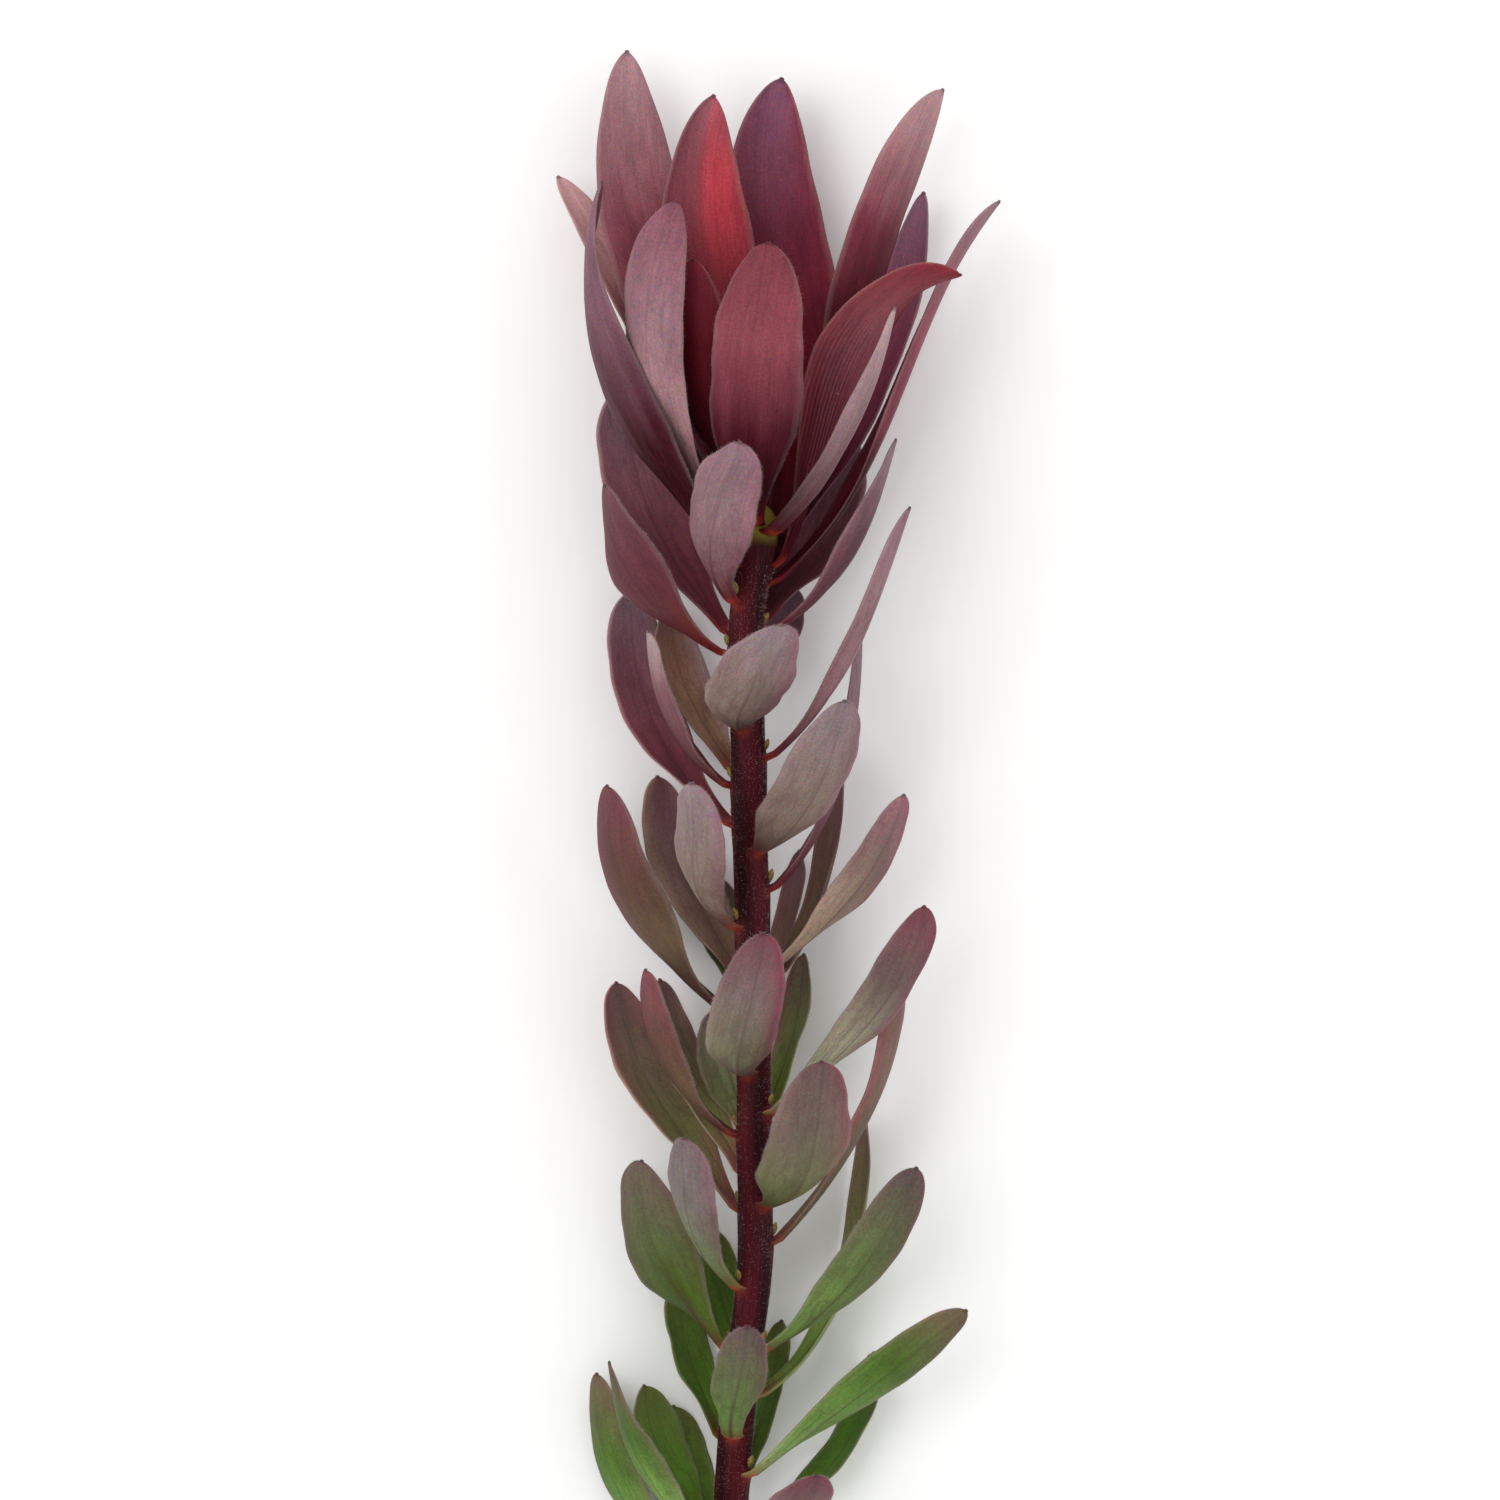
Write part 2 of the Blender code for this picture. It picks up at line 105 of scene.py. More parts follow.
def add_node(
    tree: bpy.types.NodeTree, kind: str, settings: dict[str, object], links: dict[object, object]
) -> bpy.types.Node:
    """Adds a node with its settings, its values and what runs into it.

    Args:
        tree: The node tree that gets the node.
        kind: The node's type.
        settings: Properties of the node itself.
        links: For each input, by name or number, a value or the output that feeds it.

    Returns:
        The new node.
    """
    node = tree.nodes.new(kind)
    for name, value in settings.items():
        setattr(node, name, value)
    for name, value in links.items():
        if isinstance(value, bpy.types.NodeSocket):
            tree.links.new(value, node.inputs[name])
        else:
            node.inputs[name].default_value = value
    return node


class Slot(Enum):
    """The record's material slots."""

    STEM_BARK = "stem_bark"
    GREEN_LEAF = "green_leaf"
    TAUPE_LEAF = "taupe_leaf"
    PLUM_LEAF = "plum_leaf"
    ROSE_BRACT = "rose_bract"
    CRIMSON_BRACT = "crimson_bract"


@dataclass(frozen=True)
class Tint:
    """Colours of one blade as sRGB hex: each face in four even steps from foot to tip."""

    outer: str
    inner: str
    rim: str

    def at(self, inside: bool, share: float) -> Colour:
        """The colour of one face at a share of the blade's length.

        Args:
            inside: True on the face towards the stem.
            share: Share of the length, held between 0 and 1.

        Returns:
            The linear colour.
        """
        codes = (self.inner if inside else self.outer).split()
        place = min(max(share, 0.0), 1.0) * (len(codes) - 1)
        step = min(int(place), len(codes) - 2)
        return blend(linear(codes[step]), linear(codes[step + 1]), place - step)


class Shade(Enum):
    """How far a blade has turned from green to red, from the stem's foot to the flower."""

    FRESH = Tint("#546a28 #56722c #5e7838 #665f40", "#4c6a18 #527426 #5c7832 #666c3a", "#6e4c36")
    GREEN = Tint("#a2ba76 #6c9044 #4a6a25 #6c5a48", "#44640f #4c7020 #4a6e22 #60643e", "#6a444a")
    SPROUT = Tint("#7c9656 #6c8846 #606a44 #635050", "#566a26 #5e7234 #66683c #6a4a48", "#70384a")
    MOSSY = Tint("#4e6022 #46601c #5a6140 #6a5a50", "#506a22 #54652c #5c5e3c #6c5e55", "#6c3c44")
    LODEN = Tint("#5a6636 #70764e #706258 #6a5250", "#4c5424 #5a5a3a #645848 #684c4c", "#84344a")
    OLIVE = Tint("#5c5c3a #665c46 #70584e #7c5c58", "#7a4e48 #66683e #6a5c4c #6a5050", "#8a3f50")
    KHAKI = Tint("#98a676 #a09a82 #6c5c56 #74424c", "#6a6a40 #706850 #74625a #745058", "#7c3a4c")
    STONE = Tint("#74884c #707858 #746c66 #746668", "#5c6a3c #6c7048 #7a7860 #7a6a66", "#7c4454")
    TAUPE = Tint("#66504e #7e7a60 #7a6a64 #72444e", "#4a3c2c #5a4c3c #62504a #684c4c", "#84304a")
    SILVER = Tint("#6a5048 #857266 #8a7670 #8c7a7e", "#543036 #6a4644 #745458 #7b5a5e", "#8c5064")
    ROSY = Tint("#b09a84 #a28c78 #806862 #8b606a", "#4e3a2e #5a4238 #664a44 #74484e", "#843c54")
    BRICK = Tint("#502a2c #62503a #604038 #704048", "#5a4430 #6e5040 #744c44 #7c4850", "#702436")
    ROAN = Tint("#5c3434 #663e42 #7e545a #a89090", "#5a3430 #6a4444 #785058 #84606a", "#8c2c3c")
    SAND = Tint("#5a4430 #685044 #6e5050 #74505a", "#5a4630 #70584a #745858 #70484f", "#957a6a")
    DRAB = Tint("#5a3c2c #685044 #6e5050 #74505a", "#6a4c38 #8a6c54 #84604f #70504a", "#9a8084")
    UMBER = Tint("#4a3020 #5a3a30 #6b4440 #704450", "#5a4a30 #6c5440 #705048 #74505a", "#84404c")
    MAUVE = Tint("#5c252b #886468 #8c6e72 #8a6a74", "#4a1a22 #62303a #724854 #7d5660", "#904660")
    ASH = Tint("#6a2c38 #784a54 #805e66 #806a70", "#4a1c26 #60343e #724a54 #7a5a62", "#6e4450")
    MAROON = Tint("#74281f #603034 #683a42 #6c4850", "#4a181e #603038 #68424a #645058", "#7c3c48")
    # The bracts' shades follow; their dark foot steps are their own deep red, darkened further with painted
    # shade deep inside the head.
    ROSE = Tint("#2c060c #481420 #88454e #783a44", "#340810 #561c28 #74323e #7e3c46", "#6c3040")
    DUSTY = Tint("#4a121c #6a2c36 #8c525a #a88084", "#440e18 #6a2832 #8c4c55 #ae888c", "#84505c")
    EMBER = Tint("#30060e #420a14 #783642 #b28c8e", "#34040a #50080f #862a36 #b48c90", "#80404c")
    PEARL = Tint("#5a242e #a07a7c #906c74 #84505c", "#4a1a26 #74404a #8a5864 #8c5a64", "#7c4452")
    PEWTER = Tint("#4a2028 #6c5054 #927478 #b89a9c", "#401820 #6a3c44 #845c62 #906a70", "#8c646c")
    CRIMSON = Tint("#3a0810 #5c141e #80303a #8c4c58", "#380810 #641822 #7a3640 #9a5e68", "#70343e")
    GARNET = Tint("#240408 #38080e #54121c #742834", "#240408 #38080e #5c141e #742834", "#5c1a26")
    PLUM = Tint("#380a12 #50161f #663040 #7c5264", "#34060c #6e1520 #6c2c3c #84546a", "#7c2434")
    WINE = Tint("#240609 #541a26 #864c54 #842e38", "#300810 #4c101a #6a202c #803a46", "#94303a")
    GRAPE = Tint("#20040a #340a12 #785460 #856470", "#300810 #4a141f #64303c #744c58", "#643444")
    VIOLET = Tint("#4c1422 #6a2c3c #7c3e4e #66505e", "#401020 #642838 #74384a #705060", "#5c4458")
    HEATHER = Tint("#4a101a #6a2834 #8a4c58 #94747c", "#3c0c18 #5c1c28 #743644 #7c5060", "#744654")
    PEACH = Tint("#8c3c48 #b87c80 #caa09e #d2b4b4", "#7c303c #a06468 #b88284 #c49a9c", "#b07c80")


@dataclass(frozen=True)
class Blade:
    """One leaf or bract.

    attach is how far along the stem it grows, turn is the side it leaves by (0 towards +Z,
    90 towards +X), tip is where it ends, and leave and lean are its angles to the stem at
    its foot and tip. roll is how far it has turned about its own length half way and at its
    tip, cup is half the angle that its cross-section bends through, and peak is the share of
    its length at which it is widest. taper is the power that its outline ends with, 0.5 for
    a round tip and more for a pointed one. wave is how far its margins rise and fall, skew
    how far its tip lies off its middle line and pleats how high its fine lengthwise folds
    are, whose ridges are painted lighter and hollows darker as painted highlight and shade.
    flush is how red its two margins are, stripe how dark the streak that runs up from its
    foot, glow how strong a painted glow of light shining through its red flesh is, and light
    how much painted light or shade brightens or darkens the whole blade.
    """

    name: str
    slot: Slot
    shade: Shade
    attach: float
    turn: float
    tip: tuple[float, float, float]
    width: float
    leave: float
    lean: float
    roll: tuple[float, float] = (0, 0)
    cup: float = 25
    peak: float = 0.62
    taper: float = 0.5
    wave: float = 0.35
    skew: float = 0.0
    pleats: float = 0.0
    flush: tuple[float, float] = (0.15, 0.15)
    stripe: float = 0.0
    glow: float = 0.0
    light: float = 1.0


GREEN, TAUPE, PLUM = Slot.GREEN_LEAF, Slot.TAUPE_LEAF, Slot.PLUM_LEAF
ROSE, CRIMSON = Slot.ROSE_BRACT, Slot.CRIMSON_BRACT

LEAVES = (
    Blade("leaf_front_1", PLUM, Shade.MAUVE, 197, -50, (-4, 232, 68), 17.5, 50, 15, cup=28, peak=0.6,
          skew=2.2, flush=(0.15, 0.4)),
    Blade("leaf_front_2", PLUM, Shade.SILVER, 170, -14, (4, 192, 71), 18.5, 80, 25, cup=28, peak=0.52,
          skew=2.6, flush=(0.2, 0.7), light=1.04),
    Blade("leaf_front_3", TAUPE, Shade.SILVER, 143, 26, (19.5, 175.5, 61), 20, 74, 10, cup=28, peak=0.46,
          skew=1.2, flush=(0.1, 0.7), light=0.94),
    Blade("leaf_front_4", TAUPE, Shade.TAUPE, 94, -20, (2, 125, 64), 16, 82, 15, cup=30, peak=0.46, skew=0.8,
          flush=(0.1, 1.0)),
    Blade("leaf_front_5", TAUPE, Shade.LODEN, 65, 35, (15.5, 97, 56), 21.5, 79, 10, cup=28, peak=0.42,
          flush=(0.1, 0.8), stripe=0.4),
    Blade("leaf_front_6", GREEN, Shade.SPROUT, 13.5, -8, (-0.6, 39, 54), 12.5, 60, 18, cup=40, peak=0.66,
          flush=(0.2, 0.6), stripe=0.3, light=0.94),
    Blade("leaf_front_7", GREEN, Shade.TAUPE, -9, 25, (14.5, 6.5, 50), 16, 60, 18, cup=30, peak=0.66,
          flush=(0.3, 0.6)),
    Blade("leaf_front_left_1", TAUPE, Shade.SILVER, 126, -62, (-12, 157.5, 58), 15, 58, 5, cup=38, peak=0.6,
          skew=-1.0, flush=(0.15, 0.5)),
    Blade("leaf_front_left_2", TAUPE, Shade.STONE, 46, -55, (-14, 80, 50), 15, 56, 6, cup=38, peak=0.72,
          skew=-0.8, flush=(0.1, 0.6)),
    Blade("leaf_right_1", PLUM, Shade.ASH, 191, 94, (32, 233, 35), 13, 60, 12, roll=(-25, -10), cup=30,
          peak=0.5, taper=0.6),
    Blade("leaf_right_2", PLUM, Shade.MAUVE, 163, 85, (35, 218, 38), 11, 52, 22, roll=(-18, -10), cup=30,
          peak=0.55, light=1.1),
    Blade("leaf_right_3", PLUM, Shade.ASH, 134, 92, (24.5, 189.5, 21), 13, 46, 3, roll=(-20, -20), cup=30),
    Blade("leaf_right_4", TAUPE, Shade.ROSY, 117, 72, (33, 155, 34), 13, 52, 10, roll=(-30, -38), peak=0.5,
          skew=1.0, flush=(0.15, 0.8)),
    Blade("leaf_right_5", TAUPE, Shade.KHAKI, 85, 64, (37, 130.5, 35), 14.5, 48, 4, roll=(-28, -42),
          peak=0.6, skew=1.4, flush=(0.2, 1.0)),
    Blade("leaf_right_6", GREEN, Shade.SPROUT, 33, 62, (36.5, 73, 32), 14.5, 54, 12, roll=(-32, -48),
          peak=0.56, flush=(0.2, 0.5), stripe=0.4, light=0.94),
    Blade("leaf_right_7", GREEN, Shade.GREEN, 5, 66, (47.5, 41.5, 28), 13, 48, 45, roll=(-35, -45), peak=0.6,
          flush=(0.2, 0.4), stripe=0.2),
    Blade("leaf_back_right_1", PLUM, Shade.MAROON, 193, 138, (19, 238, 7), 18, 50, 2, roll=(35, 30),
          taper=0.56, light=1.2),
    Blade("leaf_back_right_2", PLUM, Shade.UMBER, 113, 126, (20.5, 168, 11.5), 14, 50, 5, roll=(-20, -20),
          light=1.1),
    Blade("leaf_back_right_3", TAUPE, Shade.UMBER, 101, 172, (11, 142.5, 4.5), 10, 38, 0, roll=(-44, -44)),
    Blade("leaf_back_right_4", TAUPE, Shade.OLIVE, 56, 102, (33.5, 113, 19), 14.5, 44, 2, roll=(-25, -40),
          peak=0.6, flush=(0.6, 0.6), light=1.1),
    Blade("leaf_back_right_5", GREEN, Shade.MOSSY, 83, 150, (12, 119.5, 7), 12, 38, 0, roll=(-28, -28),
          flush=(0.0, 0.8), stripe=0.3, light=2.0),
    Blade("leaf_back_right_6", GREEN, Shade.SPROUT, 22, 116, (25.5, 84, 8), 12, 56, -12, roll=(-12, -12),
          light=1.6),
    Blade("leaf_back_right_7", GREEN, Shade.GREEN, -9, 115, (27.5, 31, 5), 14, 60, -8),
    Blade("leaf_back_right_8", GREEN, Shade.FRESH, 0, 160, (7, 38, 4), 9.5, 34, 0, roll=(-20, -20),
          stripe=0.6),
    Blade("leaf_left_1", PLUM, Shade.MAROON, 186, -82, (-32, 223, 34), 19, 64, 2, roll=(40, 15), cup=28,
          flush=(0.3, 0.3), light=0.92),
    Blade("leaf_left_2", PLUM, Shade.ROAN, 157, -94, (-22.5, 191, 30), 16, 56, 0, roll=(10, 10), cup=40,
          flush=(5.0, 0.0), stripe=0.3),
    Blade("leaf_left_3", TAUPE, Shade.BRICK, 106, -96, (-31.5, 157, 28), 24, 54, -8, roll=(34, 34), cup=32,
          peak=0.5, flush=(5.0, 0.0), light=0.92),
    Blade("leaf_left_4", TAUPE, Shade.BRICK, 80, -94, (-23, 116.5, 29), 16, 58, -5, roll=(22, 22), cup=38,
          flush=(5.0, 0.1), light=1.1),
    Blade("leaf_left_5", GREEN, Shade.MOSSY, 32, -72, (-22.5, 73.5, 20), 19.5, 46, -8, roll=(46, 44),
          peak=0.56, skew=-2.0, flush=(0.3, 0.4), stripe=0.8, light=0.93),
    Blade("leaf_left_6", GREEN, Shade.FRESH, -8, -115, (-23.5, 24, 11), 16, 46, 5, roll=(-15, -15), cup=30,
          light=1.2),
    Blade("leaf_left_7", GREEN, Shade.GREEN, -12, -66, (-31, 30, 27), 12, 46, 10, roll=(20, -10), cup=30,
          peak=0.36, taper=0.66, flush=(0.8, 0.5)),
    Blade("leaf_left_8", GREEN, Shade.GREEN, -22, -98, (-34, 26.5, 9), 16, 54, 0, roll=(48, 45), cup=30,
          flush=(0.4, 0.4)),
    Blade("leaf_back_left_1", PLUM, Shade.MAROON, 190, -128, (-27, 246, 18), 20, 48, -4, roll=(-30, -30),
          light=1.7),
    Blade("leaf_back_left_2", PLUM, Shade.DRAB, 160, -134, (-18, 196, 7), 15, 42, 0, peak=0.55,
          flush=(1.0, 0.1), light=1.3),
    Blade("leaf_back_left_3", PLUM, Shade.MAROON, 148, -118, (-26.5, 200, 10), 17, 52, -8, roll=(-20, -20),
          light=1.9),
    Blade("leaf_back_left_4", TAUPE, Shade.SAND, 113.3, -147, (-20.5, 159, 12), 15, 44, 0, roll=(-10, -10),
          peak=0.53, flush=(0.2, 1.4), light=1.2),
    Blade("leaf_back_left_5", TAUPE, Shade.OLIVE, 63, -112, (-28, 113.5, 12), 20, 36, -5, roll=(-15, -20),
          peak=0.5, skew=2.4, flush=(0.4, 0.4), light=1.6),
    Blade("leaf_back_left_6", GREEN, Shade.OLIVE, 71, -146, (-20, 114, 12.5), 12, 46, 2, light=2.0),
    Blade("leaf_back_left_7", GREEN, Shade.STONE, 80, -160, (-7.5, 107.5, 13), 15, 40, 4, peak=0.5,
          light=1.6),
    Blade("leaf_back_left_8", GREEN, Shade.FRESH, 28, -165, (-9, 59, 4), 12, 36, 0),
    Blade("leaf_back_left_9", GREEN, Shade.FRESH, 12, -140, (-15.5, 48, 7), 12, 40, -3),
    Blade("leaf_back_left_10", GREEN, Shade.FRESH, -16, -148, (-17, 19, 3), 15, 42, 0),
    Blade("leaf_back_1", TAUPE, Shade.MOSSY, 108, -155, (-8, 137, 7), 12, 38, 0),
    Blade("leaf_back_2", PLUM, Shade.MAROON, 174, 165, (9.5, 201, 9), 12, 38, 0, roll=(-20, -20)),
)

BRACTS = (
    Blade("bract_front_1", ROSE, Shade.ROSE, 214.5, -16, (4, 275, 62), 22.5, 42, -2, cup=34, peak=0.5),
    Blade("bract_front_2", ROSE, Shade.PEWTER, 213, 34, (31.5, 261, 56), 11, 58, 4, roll=(25, 40), cup=35,
          peak=0.6, taper=0.55),
    Blade("bract_front_left_1", ROSE, Shade.PEARL, 213, -80, (-16, 284.5, 52), 16, 54, -20, roll=(35, 62),
          cup=30, peak=0.58, taper=0.58),
    Blade("bract_front_right_1", ROSE, Shade.WINE, 206, 86, (46, 269, 42), 27, 20, 76, roll=(-26, -20),
          cup=26, peak=0.58, taper=0.55, wave=0.7, pleats=0.24, flush=(0.4, 0.5)),
    Blade("bract_left_1", ROSE, Shade.GRAPE, 205, -62, (-32.5, 289.5, 40), 16, 48, -14, roll=(24, -25),
          cup=34, peak=0.36, taper=0.58, flush=(0.3, 0.3)),
    Blade("bract_left_2", ROSE, Shade.PEACH, 202, -148, (-42.5, 292, 9), 14.5, 32, 44, cup=28, peak=0.5,
          taper=0.55),
    Blade("bract_right_1", ROSE, Shade.HEATHER, 202, 108, (55, 286, 20), 15.5, 46, 34, roll=(-15, -30),
          cup=30, peak=0.5, taper=0.56),
    Blade("bract_back_right_1", ROSE, Shade.VIOLET, 207.5, 142, (38.5, 288.5, 8), 14, 42, 0, cup=28,
          peak=0.5, taper=0.56, light=1.4),
    Blade("bract_back_right_2", ROSE, Shade.EMBER, 214, 100, (42.5, 310.5, 24), 23, 20, 24, roll=(-40, -45),
          cup=28, peak=0.5, taper=0.6),
    Blade("bract_back_left_1", ROSE, Shade.DUSTY, 209, -130, (-27.2, 319.5, 14), 22, 22, 3, roll=(-30, -30),
          cup=28, peak=0.5, taper=0.6, flush=(0.4, 0.4)),
    Blade("bract_back_1", CRIMSON, Shade.CRIMSON, 216.5, -165, (-8, 309, 27), 23.5, 30, -12, cup=34,
          peak=0.5, taper=0.64, flush=(0.6, 0.6), glow=0.6),
    Blade("bract_back_2", CRIMSON, Shade.PLUM, 210.5, 148, (7, 313.5, 14), 24.5, 40, -14, roll=(15, 15),
          cup=30, peak=0.5, taper=0.6, flush=(0.7, 0.2), light=1.1),
    Blade("bract_inner_1", CRIMSON, Shade.GARNET, 217, -40, (-12.5, 272, 46), 17, 32, 0, roll=(25, 20),
          cup=30, peak=0.5, taper=0.5),
    Blade("bract_back_3", ROSE, Shade.DUSTY, 197, 176, (-3, 294, 1.2), 18, 42, -4, cup=28, peak=0.5,
          taper=0.6),
)


class StemLine:
    """The stem's middle line, thickness and directions, in the plan's millimetres."""

    ROUTE = (
        (-8.0, -96.0, 2.55), (-6.6, -50.0, 8.6), (-4.2, 0.0, 15.0), (-2.2, 24.0, 17.6),
        (0.6, 46.0, 20.0), (1.2, 62.0, 21.6), (0.9, 88.0, 24.2), (0.4, 132.0, 28.2),
        (-0.4, 163.0, 30.8), (-0.9, 190.0, 32.6), (0.8, 206.0, 33.6), (2.6, 219.0, 34.2),
    )
    RADIUS = 3.8
    STEPS = 4
    BASE_START = 199.0
    BASE_RADIUS = 4.9
    BASE_FULL = 209.0
    DOME_ROUNDNESS = 2.4
    DOME_END = 0.14

    def __init__(self) -> None:
        """Spreads points evenly between the route's own."""
        knots = [Vector(point) for point in self.ROUTE]
        self.first, self.last = knots[0].y, knots[-1].y
        self.points: list[Vector] = []
        for index in range(len(knots) - 1):
            before = knots[max(index - 1, 0)]
            start, end = knots[index], knots[index + 1]
            after = knots[min(index + 2, len(knots) - 1)]
            # A smooth curve through the route's own points, after Catmull and Rom.
            for step in range(self.STEPS):
                share = step / self.STEPS
                self.points.append(0.5 * (
                    start * 2.0
                    + (end - before) * share
                    + (before * 2.0 - start * 5.0 + end * 4.0 - after) * share ** 2
                    + (start * 3.0 - before - end * 3.0 + after) * share ** 3
                ))
        self.points.append(knots[-1])

    def around(self, along: float, angle: float) -> tuple[Vector, Vector, Vector]:
        """The stem's middle and direction, and the way out of it at one angle.

        Args:
            along: Distance along +Y.
            angle: Turn about the stem in radians, from +Z towards +X.

        Returns:
            The middle point and two unit vectors at right angles.
        """
        index = 0
        while index < len(self.points) - 2 and self.points[index + 1].y < along:
            index += 1
        start, end = self.points[index], self.points[index + 1]
        middle = start.lerp(end, (along - start.y) / (end.y - start.y))
        direction = (end - start).normalized()
        side = direction.cross(Vector((0.0, 0.0, 1.0))).normalized()
        top = side.cross(direction)
        return middle, direction, top * math.cos(angle) + side * math.sin(angle)

    def radius(self, along: float) -> float:
        """The stem's radius, which swells under the flower and closes in a dome.

        Args:
            along: Distance along +Y.

        Returns:
            The radius.
        """
        if along <= self.BASE_START:
            return self.RADIUS
        if along <= self.BASE_FULL:
            share = (along - self.BASE_START) / (self.BASE_FULL - self.BASE_START)
            return self.RADIUS + (self.BASE_RADIUS - self.RADIUS) * ease(share)
        share = min((along - self.BASE_FULL) / (self.ROUTE[-1][1] - self.BASE_FULL), 1.0)
        return self.BASE_RADIUS * max(math.sqrt(1.0 - share ** self.DOME_ROUNDNESS), self.DOME_END)

    def across(self, angle: float, turn: float, width: float) -> float:
        """How many widths of bark lie from a turn in degrees to an angle in radians."""
        apart = (angle - math.radians(turn) + math.pi) % (2.0 * math.pi) - math.pi
        return apart * self.RADIUS / width


def on_curve(points: tuple[Vector, ...], share: float) -> tuple[Vector, Vector]:
    """A point of a cubic curve and its direction there.

    Args:
        points: The curve's four control points.
        share: Share of the way.

    Returns:
        The point and the unit direction.
    """
    rest = 1.0 - share
    start, first, second, end = points
    place = (
        start * rest ** 3
        + first * (3.0 * rest * rest * share)
        + second * (3.0 * rest * share * share)
        + end * share ** 3
    )
    direction = (
        (first - start) * (rest * rest)
        + (second - first) * (2.0 * rest * share)
        + (end - second) * (share * share)
    )
    return place, direction.normalized()


@dataclass
class Section:
    """A blade's cross-section at one share of its length.

    turned is the way out of its outer face and lateral the way across it. root runs from 1 at
    the foot to 0, and cup is half the angle that the section bends through, in radians.
    """

    share: float
    place: Vector
    along: Vector
    turned: Vector
    lateral: Vector
    root: float
    cup: float

    def spot(self, bend: float, radius: float, reach: float) -> Vector:
        """The point that lies reach off the midrib, bent so many radians on a radius."""
        return self.place + self.lateral * reach - self.turned * (radius * (1.0 - math.cos(bend)))

    def facing(self, bend: float) -> Vector:
        """The way out of the outer face where the section has bent so far, in radians."""
        return self.turned * math.cos(bend) + self.lateral * math.sin(bend)


@dataclass(frozen=True)
class Outline:
    """A blade's outline and the way it bends, as the solids have them.

    Sizes are millimetres. root_thickness_end and root_end are shares of the length at which
    the foot's own form has ended, foot_share and tip_share shares of the full width, and
    foot_pull and tip_pull how far the midrib's handles reach, as shares of its chord.
    """

    gap: float = 0.3
    solid_thickness: float = 0.7
    root_thickness: float = 1.2
    root_thickness_end: float = 0.3
    root_width: float = 5.2
    root_end: float = 0.35
    root_fade: float = 1.5
    foot_share: float = 0.34
    tip_share: float = 0.1
    tip_roundness: float = 2.5
    foot_pull: float = 0.38
    tip_pull: float = 0.36
    roll_half: float = 0.5
    solid_stations: tuple[float, ...] = (0.0, 0.1, 0.22, 0.36, 0.5, 0.63, 0.75, 0.85, 0.93, 0.975, 1.0)
    solid_across: int = 4

    def width_share(self, blade: Blade, share: float) -> float:
        """Width as a share of the full width, down to nothing at the tip.

        Args:
            blade: The blade.
            share: Share of its length.

        Returns:
            The width's share.
        """
        if share < blade.peak:
            swell = math.sin(0.5 * math.pi * share / blade.peak) ** (2.0 * blade.peak)
            return self.foot_share + (1.0 - self.foot_share) * swell
        beyond = min((share - blade.peak) / (1.0 - blade.peak), 1.0)
        return (1.0 - beyond ** self.tip_roundness) ** blade.taper

    def width(self, full: float, root: float) -> float:
        """A section's width: full, but the foot's own width where root is 1."""
        return full * (1.0 - root) + self.root_width * root

    def thickness(self, middle: float, share: float) -> float:
        """The thickness at the midrib, which grows towards the foot.

        Args:
            middle: The thickness of the rest of the blade.
            share: Share of its length.

        Returns:
            The thickness.
        """
        if share >= self.root_thickness_end:
            return middle
        return middle + (self.root_thickness - middle) * (1.0 - share / self.root_thickness_end)

    def roll(self, blade: Blade, share: float) -> float:
        """How far a blade has turned about its own length, in radians.

        Args:
            blade: The blade.
            share: Share of its length.

        Returns:
            The angle.
        """
        half, full = blade.roll
        rise = ease((share - self.roll_half) / (1.0 - self.roll_half))
        return math.radians(half * ease(share / self.roll_half) + (full - half) * rise)

    def midrib(self, blade: Blade, stem: StemLine) -> tuple[tuple[Vector, ...], Vector]:
        """The control points of a blade's middle line, and the way out from the stem.

        Args:
            blade: The blade.
            stem: The stem's line.

        Returns:
            Four control points and a unit vector.
        """
        middle, direction, outward = stem.around(blade.attach, math.radians(blade.turn))
        foot = middle + outward * (stem.radius(blade.attach) + self.gap + 0.5 * self.root_thickness)
        tip = Vector(blade.tip)
        chord = tip - foot
        away = (chord - direction * chord.dot(direction)).normalized()
        leave, lean = math.radians(blade.leave), math.radians(blade.lean)
        rise = direction * math.cos(leave) + outward * math.sin(leave)
        fall = direction * math.cos(lean) + away * math.sin(lean)
        first = foot + rise * chord.length * self.foot_pull
        second = tip - fall * chord.length * self.tip_pull
        return (foot, first, second, tip), outward

    def sections(self, blade: Blade, stem: StemLine, shares: Sequence[float]) -> Iterator[Section]:
        """A blade's sections, each turned on from the one before.

        Args:
            blade: The blade.
            stem: The stem's line.
            shares: Shares of the blade's length, from its foot to its tip.

        Yields:
            The section at each share.
        """
        points, normal = self.midrib(blade, stem)
        tube = stem.radius(blade.attach) + self.gap + 0.5 * self.root_thickness
        root_cup = self.root_width * 0.5 / tube
        for share in shares:
            place, along = on_curve(points, share)
            normal = (normal - along * normal.dot(along)).normalized()
            turned = Matrix.Rotation(self.roll(blade, share), 3, along) @ normal
            root = max(1.0 - share / self.root_end, 0.0) ** self.root_fade
            cup = math.radians(blade.cup) * (1.0 - root) + root_cup * root
            yield Section(share, place, along, turned, along.cross(turned), root, cup)


